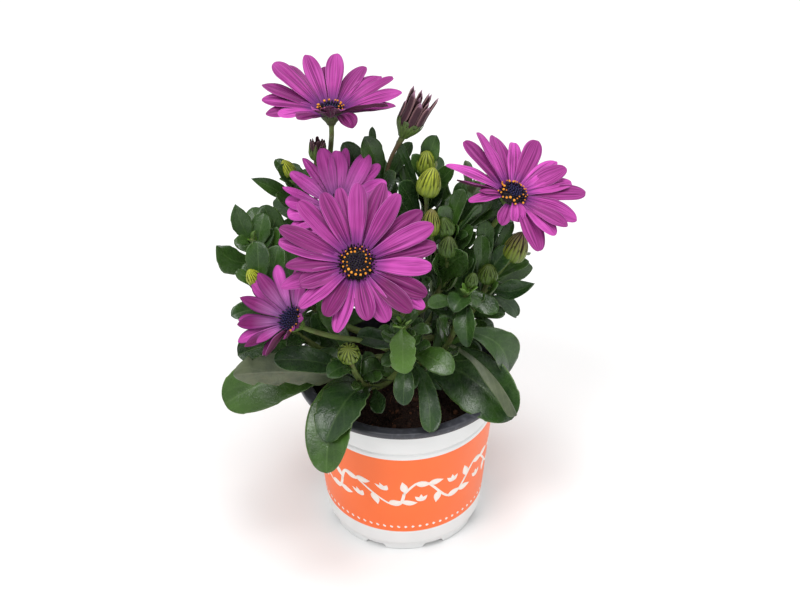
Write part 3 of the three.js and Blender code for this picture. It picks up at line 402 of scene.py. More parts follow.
def finished(name, skins, materials, nodes):
    """One object made of skins, in metres, that stands for CAD nodes and rides on the one body."""
    starts = np.cumsum([0] + [len(s["points"]) for s in skins])
    points = np.concatenate([s["points"] for s in skins]) * MM
    quads = np.concatenate([s["quads"] + start for s, start in zip(skins, starts)])
    fans = np.concatenate([s["fans"] + start for s, start in zip(skins, starts)])
    mesh = bpy.data.meshes.new(name)
    mesh.vertices.add(len(points))
    mesh.vertices.foreach_set("co", points.astype(np.float32).ravel())
    mesh.loops.add(quads.size + fans.size)
    mesh.loops.foreach_set("vertex_index", np.concatenate([quads.ravel(), fans.ravel()]).astype(np.int32))
    sizes = np.concatenate([np.full(len(quads), 4), np.full(len(fans), 3)])
    mesh.polygons.add(len(sizes))
    mesh.polygons.foreach_set("loop_start", (np.cumsum(sizes) - sizes).astype(np.int32))
    finishes = [s["quad_finish"] for s in skins] + [s["fan_finish"] for s in skins]
    mesh.polygons.foreach_set("material_index", np.concatenate(finishes).astype(np.int32))
    mesh.polygons.foreach_set("use_smooth", np.ones(len(sizes), bool))
    mesh.update(calc_edges=True)
    for mark in sorted({key for s in skins for key in s["marks"]}):
        values = [s["marks"].get(mark, np.zeros(len(s["points"]))) for s in skins]
        mesh.attributes.new(mark, "FLOAT", "POINT").data.foreach_set("value", np.concatenate(values))
    for material in materials:
        mesh.materials.append(material)
    obj = linked(name, mesh)
    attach(obj, "root")
    if nodes:
        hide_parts(*nodes)


def bezier(points, t):
    """Points of a quadratic curve: the first, middle and last point weighed by (1-t)^2, 2t(1-t) and t^2."""
    t = np.atleast_1d(np.asarray(t, float))[:, None]
    start, bend, end = (np.array(p, float) for p in points)
    return (1 - t) ** 2 * start + 2 * t * (1 - t) * bend + t ** 2 * end


def stem_point(name, at):
    """The point of a stem at a part of its length."""
    return bezier(STEMS[name][0], at)[0]


def route(points, steps):
    """A smooth line through points: cubic pieces between them, with the slope of a parabola at each."""
    points = np.array(points, float)
    knots = np.concatenate([[0], np.cumsum(np.linalg.norm(np.diff(points, axis=0), axis=1) ** 0.5)])
    slopes = np.gradient(points, knots, axis=0)
    at = np.linspace(0, knots[-1], steps)
    piece = np.clip(np.searchsorted(knots, at, side="right") - 1, 0, len(knots) - 2)
    span = np.diff(knots)[piece][:, None]
    t = (at[:, None] - knots[piece][:, None]) / span
    start, end = points[piece], points[piece + 1]
    rise = slopes[piece] * span * (t ** 3 - 2 * t ** 2 + t) + slopes[piece + 1] * span * (t ** 3 - t ** 2)
    return start * (2 * t ** 3 - 3 * t ** 2 + 1) + end * (3 * t ** 2 - 2 * t ** 3) + rise


def tube(line, radius, sides=12, rib=0.05, ribs=5, **marks):
    """A closed tube along a line, with low ribs: the radius is swung by a cosine of ribs waves round it."""
    line = np.asarray(line, float)
    tangent = unit(np.gradient(line, axis=0))
    plane = np.cross(tangent[0], tangent[-1])
    if np.linalg.norm(plane) < 0.05:
        plane = np.cross(tangent[0], UPWARDS if abs(tangent[0][2]) < 0.9 else [1.0, 0, 0])
    first = unit(plane - tangent * (tangent @ plane)[:, None])
    second = np.cross(tangent, first)
    angle = circle(sides)[None, :, None]
    size = np.broadcast_to(np.asarray(radius, float), len(line))[:, None, None]
    size = size * (1 + rib * np.cos(ribs * angle))
    rings = line[:, None] + size * (first[:, None] * np.cos(angle) + second[:, None] * np.sin(angle))
    along = np.linspace(0, 1, len(line))[:, None]
    return skin(rings, along=along, across=np.cos(ribs * angle[..., 0]), **marks)


def turned(profile, sides=96):
    """Rings of a turned shape: every (radius, height) of the profile swept round +Z."""
    profile = np.array(profile, float)
    return swept(np.maximum(profile[:, :1], 0.01), circle(sides)[None], profile[:, 1:])


def beads(places, axes, length, radius, rows=4, cols=6, finish=0, **marks):
    """Many small egg shapes at once: rings whose radius is a power of the sine of the way along the axis."""
    places, axes = np.atleast_2d(places), unit(np.atleast_2d(axes))
    spare = np.where(np.abs(axes[:, 2:]) < 0.9, UPWARDS, [1.0, 0.0, 0.0])
    first = unit(np.cross(axes, spare))
    second = np.cross(axes, first)
    t = np.linspace(0.08, 0.92, rows)[None, :, None, None]
    angle = circle(cols)[None, None, :, None]
    length, radius = (np.reshape(size, (-1, 1, 1, 1)) for size in (length, radius))
    around = first[:, None, None] * np.cos(angle) + second[:, None, None] * np.sin(angle)
    out = around * radius * np.sin(np.pi * t) ** 0.7
    marks = {name: np.reshape(mark, (-1, 1, 1)) for name, mark in marks.items()}
    return skin(places[:, None, None] + axes[:, None, None] * length * t + out, finish=finish, **marks)


def frame_at(place, axis):
    """A place and a turn that carry a shape made along +Z to where it grows: rows across, up and axis."""
    axis = unit(axis)
    across = unit(np.array([1.0, 0, 0]) - axis * axis[0])
    return np.array(place, float), np.stack([across, np.cross(axis, across), axis])


def carried(shape, place):
    """A skin moved by frame_at's place."""
    origin, turn = place
    shape["points"] = origin + shape["points"] @ turn
    return shape


def flat_section(cols, pull=0.5):
    """Places round a flat section: across it from 1 to -1 and back, and height.

    They are the cosine and sine of cols angles, which pull draws towards the middle of both faces.
    """
    share = np.linspace(-1, 1, cols // 2, endpoint=False)
    half_turn = ((1 - pull) * share + pull * share ** 3 + 1) * np.pi / 2
    angle = np.concatenate([half_turn, half_turn + np.pi])[None]
    return np.cos(angle), np.sin(angle)


def face_of(height):
    """Which face of a flat section: 1 above, -1 below, and a quick change at the margins."""
    return np.clip(3 * height, -1, 1)


# ------------------------------------------------------------------ leaves

# The ways to the light that leaves turn to: forwards and up, and backwards and up for the back shoots.
LIGHT_WAY = unit([-0.15, -0.75, 0.65])
BACK_LIGHT_WAY = unit([0.05, 0.7, 0.72])
BACK_SHOOTS = ("back", "back_right")
PETIOLE = 0.16        # half-width of a leaf's foot, as a part of half its width
END = 0.996           # where the last ring of a blade lies, as a part of its length
NIB = 0.3             # how far a leaf's point stands past its last ring


def blade(root, tip, width, arch=0.0, bow=0.0, roll=0.0, fold=0.25, teeth=0, depth=0.0, ruffle=0.7,
          point=0.0, thick=0.9, rows=24, cols=24, twist=0.0, young=0.0, finish=0, seek=0.0, full=0.0,
          light=LIGHT_WAY):
    """A leaf blade as a closed skin.

    The midrib is the chord from root to tip, raised by arch and swung by bow in a parabola. Half the width
    is a blunt bell along it, with teeth as a saw wave on the margins and a soft wave that ruffles them.
    Round a section the angle's cosine runs from margin to margin and its sine from the upper to the lower
    face. The halves fold up with the 1.6th power of the way out, and the midrib is a groove above and a
    keel below. The blade is turned about its midrib by roll, by twist times the way along, and by seek
    times the angle towards the light. full is 1 for a blade that is as broad near its root as near its end.
    """
    root, tip = np.asarray(root, float), np.asarray(tip, float)
    chord = tip - root
    along = unit(chord)
    up = unit(UPWARDS - along * along[2])
    side = np.cross(along, up)
    t = END * np.sin(np.linspace(0, 1, rows) * np.pi / 2)[:, None]
    sway = up * arch + side * bow
    middle = root + chord * t + sway * 4 * t * (1 - t)
    tangent = unit(chord + sway * 4 * (1 - 2 * t))
    to_light = math.atan2(light @ side, light @ up)
    turn = np.radians(roll + twist * t) + seek * to_light
    across = side * np.cos(turn) - up * np.sin(turn)
    right = unit(across - tangent * np.sum(across * tangent, 1, keepdims=True))
    out = np.cross(right, tangent)
    lateral, height = flat_section(cols)
    round_from = float(np.clip(1 - 0.72 * width / np.linalg.norm(chord), 0.5, 0.84))
    end = np.clip((t - round_from) / (1 - round_from), 0, 1)
    broad_from = (round_from + 0.02) * (1 - 0.5 * full)
    blunt = (0.2 + 0.8 * smooth(0.05, broad_from, t)) * (1 - end ** 2.2) ** 0.5
    sharp = np.sin(np.pi * t ** 1.3) ** 0.9
    bell = (1 - point) * blunt + point * sharp
    half = width / 2 * np.maximum(bell, PETIOLE * (1 - t))
    phase = rng.uniform(0, 1, 2)
    saw = 1 - (t * teeth * 1.6 + np.where(lateral > 0, phase[0], phase[1])) % 1
    toothed = smooth(0.28 - 0.2 * full, 0.42 - 0.2 * full, t) * smooth(1.0, 0.9, t)
    half = half * (1 + depth * toothed * (saw ** 0.8 - 0.5))
    wave = ruffle * np.sin(2 * np.pi * (1.8 * t + np.where(lateral > 0, phase[1], phase[0])))
    out_by = fold * half * np.abs(lateral) ** 1.6 + wave * lateral ** 4 * smooth(0.15, 0.5, t)
    skin_by = 0.1 + thick / 2 * np.abs(height) * np.minimum(1, half / 2)
    rib = np.exp(-(half * lateral / (0.05 * width + 0.3)) ** 2) * (1 - 0.8 * t)
    out_by = out_by + skin_by * height - rib * np.where(height > 0, 0.03 * width, 0.05 * width)
    across_by = half * lateral
    rings = middle[:, None] + right[:, None] * across_by[..., None] + out[:, None] * out_by[..., None]
    return skin(rings, tip=tip + tangent[-1] * NIB, finish=finish, across=lateral, along=t,
                face=face_of(height), tint=rng.uniform(0, 1), young=young)


def facing(spec):
    """The way a flower looks, as a unit vector."""
    a, e = math.radians(spec["azimuth"]), math.radians(spec["elevation"])
    return np.array([math.cos(a) * math.cos(e), math.sin(a) * math.cos(e), math.sin(e)])


# The room that each flower's rays keep free of filling leaves: behind and before its plane, and outwards.
FLOWER_ROOM = dict(behind=6, before=18, out=40)


def clear_of_flowers(point):
    """True if a point is outside the flat room of every flower."""
    for spec in FLOWERS.values():
        away = point - np.array(spec["centre"], float)
        height = away @ facing(spec)
        reach = np.linalg.norm(away - height * facing(spec))
        if -FLOWER_ROOM["behind"] < height < FLOWER_ROOM["before"] and reach < FLOWER_ROOM["out"]:
            return False
    return True


def light_on(name):
    """The way that a shoot's leaves turn."""
    return BACK_LIGHT_WAY if name in BACK_SHOOTS else LIGHT_WAY


def outwards(tangent, angle):
    """The way out of a stem at an angle round it."""
    first = unit(np.cross(tangent, [0.3, 1.0, 0.2]))
    return first * math.cos(angle) + np.cross(tangent, first) * math.sin(angle)


# Filling leaves by shoot: how many, over which part of it, and the length of the lowest and the highest.
FILL = {
    "left_upper": (15, 0.3, 0.92, 30, 20), "left_lower": (14, 0.3, 0.97, 30, 18),
    "left_top": (14, 0.25, 0.94, 28, 18), "centre_top": (14, 0.2, 0.9, 28, 18),
    "right_top": (16, 0.2, 0.94, 28, 19), "right_mid": (16, 0.25, 0.9, 26, 18),
    "right_outer": (15, 0.25, 0.85, 27, 20), "right_lower": (10, 0.2, 0.7, 25, 20),
    "front": (10, 0.35, 0.85, 25, 16), "front_left": (10, 0.4, 0.9, 24, 15),
    "back": (16, 0.2, 0.97, 32, 19), "back_right": (16, 0.2, 0.97, 32, 19),
}
LOW, HIGH = (np.array(corner, float) / MM for corner in cad_box)
BOX_MARGIN = 3        # how far the filling leaves stay inside the box
RIM_LEVEL = 104       # height above the floor that they keep, clear of the pot's rim
TUFT = 6              # how many new leaves stand round a shoot's tip


def filling_leaves(name):
    """Leaves in a spiral up a shoot, a golden angle apart, shorter and more upright towards its tip."""
    count, low, high, longest, shortest = FILL[name]
    points = STEMS[name][0]
    leaves = []
    for k in range(count):
        at = low + (high - low) * (k + rng.uniform(-0.3, 0.3)) / (count - 1)
        at = float(np.clip(at, low, high))
        root = bezier(points, at)[0]
        tangent = unit(bezier(points, min(1, at + 0.02))[0] - bezier(points, at - 0.02)[0])
        out = outwards(tangent, GOLDEN_ANGLE * k + rng.uniform(-0.3, 0.3))
        share = (at - low) / (high - low)
        length = (longest + (shortest - longest) * share) * rng.uniform(0.88, 1.1)
        spread = math.radians(56 - 24 * share + rng.uniform(-8, 8))
        tip = root + length * (tangent * math.cos(spread) + out * math.sin(spread)) + UPWARDS * 3
        width = length * rng.uniform(0.34, 0.44)
        inside = np.all(tip > LOW + BOX_MARGIN) and np.all(tip < HIGH - BOX_MARGIN) and tip[2] > RIM_LEVEL
        if inside and clear_of_flowers(tip) and clear_of_flowers((root + tip) / 2):
            leaves.append(blade(root, tip, width, arch=rng.uniform(-3, 3), roll=rng.uniform(-14, 14),
                                seek=0.6, fold=0.35, rows=16, cols=16, twist=rng.uniform(-10, 10),
                                young=0.15 * share, finish=1, light=light_on(name)))
    return leaves


def tip_leaves(name):
    """A tuft of small bright new leaves round a shoot's growing tip."""
    points = STEMS[name][0]
    end = bezier(points, 0.97)[0]
    tangent = unit(bezier(points, 1)[0] - bezier(points, 0.9)[0])
    leaves = []
    for k in range(TUFT):
        out = outwards(tangent, GOLDEN_ANGLE * k + 1)
        tip = end + (11 - k) * (tangent * 0.86 + out * (0.55 - 0.05 * k))
        if clear_of_flowers(tip):
            leaves.append(blade(end, tip, 3.6, arch=0.5, fold=0.5, ruffle=0, rows=10, cols=12,
                                point=0.4, thick=0.7, young=0.75, finish=1))
    return leaves


# ------------------------------------------------------------------ flowers

RAY_THICK = 0.5       # thickness of a ray in the middle of its width
CUP_DEPTH = 8         # from a flower's rays down to its stalk
RAY_NARROW = 0.42     # width of a ray's foot, as a part of its greatest width


def ray(spec, layer, direction, reach, rise, curl, broad=1.0, extra=0.0):
    """A ray floret in the flower's frame, as a closed skin.

    Its midline leaves the foot at the rise angle and turns evenly by curl, so it is an arc: the way out is
    the difference of the sines of the slope over the curl, and the height that of the cosines. It widens
    from its foot in a soft step and ends in a part of an ellipse, or in a point where blunt is more than a
    half. Across, the margins cup up, two flutes run along it, and it leans onto the next ray. Rays of layer
    1 lie lower than those of layer 0, and their colour is darker as painted shade under the rays above.
    """
    foot = spec.get("foot", 0.62) * spec["disc"]
    rows, cols = 30, 28
    t = END * np.sin(np.linspace(0, 1, rows) * np.pi / 2)[:, None]
    start = math.radians(rise + rng.uniform(-2, 2))
    bend = math.radians(curl + rng.uniform(-3, 3))
    slope = start + bend * t
    length = reach - foot
    out = foot + length * (np.sin(slope) - math.sin(start)) / bend
    lift = length * (math.cos(start) - np.cos(slope)) / bend - 0.3 - 1.1 * layer
    narrow = spec.get("narrow", RAY_NARROW)
    widen = narrow + (1 - narrow) * smooth(0.0, 0.62, t)
    round_from = rng.uniform(0.56, 0.76)
    end = np.clip((t - round_from) / (1 - round_from), 0, 1)
    blunt = spec.get("blunt", 0.5) * rng.uniform(0.85, 1.12)
    half = spec["width"] * broad * rng.uniform(0.94, 1.06) / 2 * widen * (1 - end ** 2) ** blunt
    lateral, height = flat_section(cols)
    cup = rng.uniform(0.06, 0.2) * spec.get("cup", 1.0) * half * lateral ** 2
    groove = np.exp(-((np.abs(lateral) - 0.4) / 0.13) ** 2)
    flutes = -rng.uniform(0.5, 0.9) * groove * smooth(0, 0.3, t) * smooth(1, 0.8, t)
    ridge = 0.4 * np.exp(-(lateral / 0.15) ** 2) * smooth(0.1, 0.3, t) * smooth(1, 0.8, t)
    wave = 0.5 * np.sin(2 * np.pi * (1.3 * t + rng.uniform(0, 1))) * lateral * smooth(0.3, 0.8, t)
    thick = (0.08 + RAY_THICK / 2 * np.abs(height)) * np.minimum(1, half / 1.5)
    normal = cup + flutes + ridge + wave + thick * height
    steady, swing = spec.get("lean", (9, 0))
    lean = steady + swing * math.cos(math.radians(direction)) + extra
    twist = np.radians(lean + rng.uniform(-6, 6) + rng.uniform(-12, 12) * t)
    sway = rng.uniform(-1.4, 1.4) * t ** 2
    sideways = half * lateral * np.cos(twist) - normal * np.sin(twist) + sway
    normal = half * lateral * np.sin(twist) + normal * np.cos(twist)
    radius = out - normal * np.sin(slope)
    turn = math.radians(direction)
    rings = np.stack([radius * math.cos(turn) - sideways * math.sin(turn),
                      radius * math.sin(turn) + sideways * math.cos(turn),
                      lift + normal * np.cos(slope)], -1)
    # Lower-layer rays get a darker colour, painted shade under the rays above them. Each flower's shift on
    # top of that is partly painted light or shade.
    tint = (rng.uniform(0.0, 0.4) if layer else rng.uniform(0.5, 1.0)) + spec.get("tone_and_painted_light", 0.0)
    return skin(rings, across=lateral, along=t, face=face_of(height), tint=min(max(tint, 0.0), 1.0),
                young=spec.get("pale", 0.0))


def disc_florets(spec):
    """The disc: closed florets in the middle and open ones round them, some with pollen, on a spiral.

    Floret k of n lies at the disc's radius times the root of k/n, a golden angle on from the one before, on
    a low dome with a raised ring.
    """
    radius = spec.get("ring", 1.08) * spec["disc"]
    count = int(1.8 * radius ** 2)
    k = np.arange(count)
    share = np.sqrt((k + 0.5) / count)
    angle = GOLDEN_ANGLE * k
    top = spec.get("dome", 1.2)
    dome = top - (top + 0.1) * share ** 2 + 1.3 * np.exp(-((share - spec["open_from"] - 0.12) / 0.2) ** 2)
    places = swept(radius * share, angle, dome)
    axes = swept(0.9 * share ** 3, angle, 1.0)
    tint = rng.uniform(0, 1, count)
    core = [(0, -1.6), (0.6 * radius, -1.6), (0.93 * radius, -0.9), (0.95 * radius, 0.2),
            (0.6 * radius, 0.6 * top), (0, top)]
    parts = [skin(turned(core, 32), finish=1, tint=0.3)]
    full = share >= spec["open_from"]
    kinds = [(~full, 0, 0.4, 1.9, 0.52), (full, 1, 0.8, 2.6 + 0.5 * tint[full], 0.46)]
    for these, finish, sunk, length, size in kinds:
        parts.append(beads(places[these] - axes[these] * sunk, axes[these], length, size, finish=finish,
                           tint=tint[these], young=spec["blue"]))
    low, high, part = spec["pollen"]
    ripe = full & (share > low) & (share < high) & (k * part % 1 < part)
    if "side" in spec:
        ripe &= np.cos(angle - math.radians(spec["side"])) > 0.4
    size = 0.42 + 0.36 * (k[ripe] * 0.37 % 1) ** 2
    parts.append(beads(places[ripe] + axes[ripe] * (1.7 - size[:, None]), axes[ripe], 2 * size, size,
                       rows=6, cols=8, finish=2, tint=size))
    return parts


def bracts(profile, count, low, high, width, lift, row, finish=0, thick=0.3, uneven=0.0, long=False,
           crest=False, **marks):
    """Narrow scales that lie on a turned body: each follows the body's profile from low to high.

    A scale's half-width is a pointed bell of its way up, or nearly even for a long one, and it stands lift
    proud of the body. uneven is how much shorter some of them are. crest marks the middle instead of the
    margins.
    """
    marks.setdefault("tint", 0.5)
    heights = np.linspace(0, 1, 12)[:, None]
    profile = np.array(profile, float)
    reach = np.linspace(0, 1, len(profile))
    lateral, height = np.cos(circle(12))[None], np.sin(circle(12))[None]
    bell = np.sin(np.pi * (0.35 + 0.65 * heights)) ** 0.7
    strap = (0.6 + 0.4 * smooth(0, 0.5, heights)) * np.clip(1 - heights ** 14, 0, 1)
    half = width / 2 * np.maximum(strap if long else bell, 0.04)
    stand = lift + 0.5 * thick * height * np.minimum(1, half) + 0.3 * half * (1 - lateral ** 2)
    parts = []
    for k in range(count):
        at = low + (high - low) * (1 - uneven * rng.uniform(0, 1)) * heights
        radius = np.interp(at[:, 0], reach, profile[:, 0])[:, None]
        level = np.interp(at[:, 0], reach, profile[:, 1])[:, None]
        turn = 2 * np.pi * (k + 0.5 * row) / count + rng.uniform(-0.06, 0.06)
        around = turn + half * lateral / np.maximum(radius, 0.6)
        across = 0.95 - 0.7 * np.abs(lateral) ** 1.5 if crest else lateral
        along = 0.9 * heights * high if crest else heights
        parts.append(skin(swept(radius + stand, around, level), finish=finish, across=across, along=along,
                          face=face_of(height), **marks))
    return parts


def cup_profile(disc):
    """The involucre under a flower, from the stalk up to the rays."""
    return [(1.6, -CUP_DEPTH - 0.6), (2.1, -CUP_DEPTH + 0.6), (0.42 * disc, -6.4), (0.64 * disc, -4.8),
            (0.8 * disc, -3.2), (0.9 * disc, -1.6), (0.92 * disc, -0.7)]


def flower(name):
    """A flower: its stalk with the cup, its rays and its disc, each a piece of its own.

    The stalk enters the cup along the flower's axis.
    """
    spec = FLOWERS[name]
    axis = facing(spec)
    place = frame_at(spec["centre"], axis)
    centre = np.array(spec["centre"], float)
    end = centre - axis * (CUP_DEPTH - 0.6)
    line = route([stem_point(spec["stem"], spec["at"]), *spec["via"], end - axis * 5, end], 40)
    along = np.linspace(0, 1, len(line))
    radius = 1.25 + 0.25 * (1 - along) + 0.8 * smooth(0.93, 1, along)
    profile = cup_profile(spec["disc"])
    parts = [tube(line, radius, sides=16, ribs=8, tint=0.5)]
    cup = [(0, profile[0][1]), *profile, (0, profile[-1][1])]
    flushed = spec.get("flushed", 0.15)
    parts.append(carried(skin(turned(cup, 32), finish=1, tint=0.4, along=0.5, young=flushed), place))
    for row, (count, high, lift) in enumerate([(13, 0.82, 0.15), (13, 1.0, 0.05)]):
        scales = bracts(profile, count, 0.02, high, 0.36 * spec["disc"], lift, row, finish=1, young=flushed)
        parts += [carried(scale, place) for scale in scales]
    finished(f"{name}_flower_stalk", parts, [stem_skin, bract_skin], [f"flower_{name}_stalk"])
    rays = [carried(ray(spec, k % 2, *entry), place) for k, entry in enumerate(spec["rays"])]
    finished(f"{name}_flower_rays", rays, [ray_tissue], [f"flower_{name}_rays"])
    disc = [carried(part, place) for part in disc_florets(spec)]
    finished(f"{name}_flower_disc", disc, [closed_floret, open_floret, pollen], [f"flower_{name}_disc"])


# ------------------------------------------------------------------ buds

def bud_profile(radius, height):
    """A bud's egg: radius and height of its outline."""
    shape = [(0.35, 0.0), (0.74, 0.06), (0.93, 0.16), (1.0, 0.29), (0.99, 0.44), (0.9, 0.6), (0.74, 0.75),
             (0.54, 0.87), (0.33, 0.95), (0.1, 1.0)]
    return [(r * radius, h * height) for r, h in shape]


def closed_bud(spec, height):
    """A closed bud: an egg of rolled rays, whose radius swings with its ridges, in two rows of like scales.

    The ridges are the absolute value of a cosine of the angle, which turns on a little towards the tip.
    """
    ridges, cols = 13, 104
    profile = np.array(bud_profile(spec["radius"], height))
    steps = np.linspace(0, 1, 30)
    reach = np.linspace(0, 1, len(profile))
    radius = np.interp(steps, reach, profile[:, 0])[:, None]
    level = np.interp(steps, reach, profile[:, 1])[:, None]
    angle = circle(cols)[None]
    uneven = 0.5 * np.sin(2 * angle + rng.uniform(0, 6)) + 0.4 * np.sin(3 * angle + rng.uniform(0, 6))
    ridge = np.abs(np.cos(ridges / 2 * angle + uneven + 1.2 * steps[:, None]))
    rings = swept(radius * (0.8 + 0.2 * ridge ** 0.6), angle, level)
    colour = dict(finish=2, tint=spec["yellow"], young=spec["ripe"])
    parts = [skin(rings, across=ridge, along=steps[:, None], **colour)]
    for row, (count, high, width, lift) in enumerate([(9, 0.6, 0.74, 0.3), (9, 0.82, 0.6, 0.1)]):
        parts += bracts(profile, count, 0.02, high, width * spec["radius"], lift, row, uneven=0.2,
                        crest=True, **colour)
    return parts


def opening_bud(spec, height):
    """An opening bud: a green cone of pointed scales, with a spreading brush of rolled dark rays."""
    radius = spec["radius"]
    outline = [(0.2, 0), (0.3, 0.05), (0.5, 0.12), (0.75, 0.2), (0.92, 0.29), (1.0, 0.38), (1.0, 0.47),
               (1.02, 0.58), (1.07, 0.7), (1.16, 0.84), (1.28, 1.0)]
    profile = [(r * radius, h * height) for r, h in outline]
    cup = [(0, 0), *profile[:6], (0, 0.34 * height)]
    parts = [skin(turned(cup, 32), finish=1, tint=0.3, along=0.5)]
    for row, (count, high, lift) in enumerate([(11, 0.44, 0.5), (11, 0.55, 0.3)]):
        parts += bracts(profile, count, 0.02, high, 0.55 * radius, lift, row, finish=1, uneven=0.2, tint=0.3,
                        young=0.25)
    brush = [(8, 0.93, 4.6, 0.3), (6, 0.62, 3.8, 0.25), (3, 0.32, 3.0, 0.2)]
    for row, (count, size, width, uneven) in enumerate(brush):
        inner = [(r * size, h) for r, h in profile]
        parts += bracts(inner, count, 0.3, 1.0, width, -0.3, row, finish=2, thick=1.0, uneven=uneven,
                        long=True)
    return parts


def spent_bud(spec, height):
    """A spent head: a cup of dry scales with short withered rays that stick up unevenly."""
    radius = spec["radius"]
    profile = [(0.25 * radius, 0), (0.7 * radius, 0.12 * height), (0.98 * radius, 0.35 * height),
               (1.0 * radius, 0.6 * height), (1.05 * radius, 0.9 * height), (1.1 * radius, height)]
    cup = [(0, 0), *profile[:4], (0, 0.5 * height)]
    parts = [skin(turned(cup, 28), finish=1, tint=0.3, along=0.5)]
    parts += bracts(profile, 11, 0.02, 0.8, 0.6 * radius, 0.3, 0, finish=1, uneven=0.3)
    for row, (count, size) in enumerate([(11, 0.95), (7, 0.6)]):
        inner = [(r * size, h) for r, h in profile]
        parts += bracts(inner, count, 0.3, 1.0, 0.5 * radius, -0.2, row, finish=2, thick=0.7, uneven=0.4,
                        long=True)
    return parts


def bud(name):
    """A bud with its stalk."""
    spec = BUDS[name]
    foot, top = (np.array(spec[key], float) for key in ("foot", "top"))
    height = np.linalg.norm(top - foot)
    axis = (top - foot) / height
    form = {"opening": opening_bud, "spent": spent_bud}.get(spec.get("form"), closed_bud)
    line = route([stem_point(spec["stem"], spec["at"]), spec["via"], foot + axis], 20)
    along = np.linspace(0, 1, len(line))
    flushed = spec.get("flushed", 0.0) * smooth(1, 0.85, along)[:, None]
    radius = 1.0 + 0.7 * smooth(0.75, 1, along)
    parts = [tube(line, radius, sides=12, ribs=6, tint=0.6, young=flushed)]
    place = frame_at(foot, axis)
    parts += [carried(part, place) for part in form(spec, height)]
    dark = spec.get("form") is not None
    skins = [stem_skin, bract_skin, withered_ray if dark else rolled_ray]
    finished(name.replace("bud_", "head_"), parts, skins, [name])


# ------------------------------------------------------------------ shoots and leaves

def stem_tube(name, sides=14):
    """A stem: a tube that thins towards its tip, with a swelling at each leaf joint."""
    points, radius = STEMS[name]
    t = np.linspace(0, 1, 48)
    joints = 1 + 0.1 * np.cos(2 * np.pi * 7 * t) ** 8
    taper = radius * (1.1 - 0.35 * t) * joints
    return tube(bezier(points, t), taper, sides=sides, rib=0.06, ribs=6, tint=0.3)


def shoot(name):
    """A shoot: its stem with its small leaves, the leaves that fill it and the tuft at its tip."""
    parts = [stem_tube(name)]
    for at, tip, width, arch, roll, fold, *point in SHOOT_LEAVES[name]:
        parts.append(blade(stem_point(name, at), tip, width, arch=arch, roll=roll, fold=fold, rows=20,
                           cols=20, seek=0.7, ruffle=0.5, point=sum(point), twist=rng.uniform(-8, 8),
                           young=0.15 * rng.uniform(0, 1), finish=1, teeth=3,
                           depth=0.1 if width > 9 else 0.0, light=light_on(name)))
    parts += filling_leaves(name)
    parts += tip_leaves(name)
    finished(f"{name}_shoot", parts, [stem_skin, leaf_blade], [f"shoot_{name}"])


def large_leaf(name):
    """A large leaf that grows from a stem."""
    spec = dict(LARGE_LEAVES[name])
    root = stem_point(spec.pop("stem"), spec.pop("at"))
    part = blade(root, rows=34, cols=28, ruffle=0.9, **spec)
    finished(name.replace("leaf_", "big_leaf_"), [part], [leaf_blade], [name])


# Leaves inside the plant, between the shoots: stem, where it grows on it, tip and width.
INNER_LEAVES = [
    ("centre_top", 0.86, (6, 30, 209), 10), ("right_top", 0.7, (22, 24, 207), 10),
    ("right_outer", 0.97, (58, 3, 180), 11), ("back_right", 0.91, (64, 54, 159), 12),
    ("right_mid", 0.52, (1, 6, 160), 9),
]


def inner_leaf(stem, at, tip, width):
    """A plain leaf that turns nearly all the way to the light."""
    return blade(stem_point(stem, at), tip, width, arch=2, seek=0.95, rows=20, cols=20, ruffle=0.5)


# ------------------------------------------------------------------ pot and soil

POT_FLOOR = POT["foot_height"] + POT["wall"]
INNER_EDGE = POT["height"] - 1.8      # where the inside of the wall meets the lip
INK = 0.09                            # how far the printed layer stands proud of the wall


def outer_radius(z):
    """The pot's outside is a cone."""
    growth = POT["top_radius"] - POT["base_radius"]
    return POT["base_radius"] + growth * np.asarray(z, float) / POT["height"]


def inner_radius(z):
    """The inside of the wall is a plain cone from the floor to the inner edge of the lip."""
    low = POT["base_radius"] - POT["wall"] - POT["foot_inset"]
    high = POT["top_radius"] - POT["wall"]
    return low + (high - low) * (np.asarray(z, float) - POT_FLOOR) / (INNER_EDGE - POT_FLOOR)


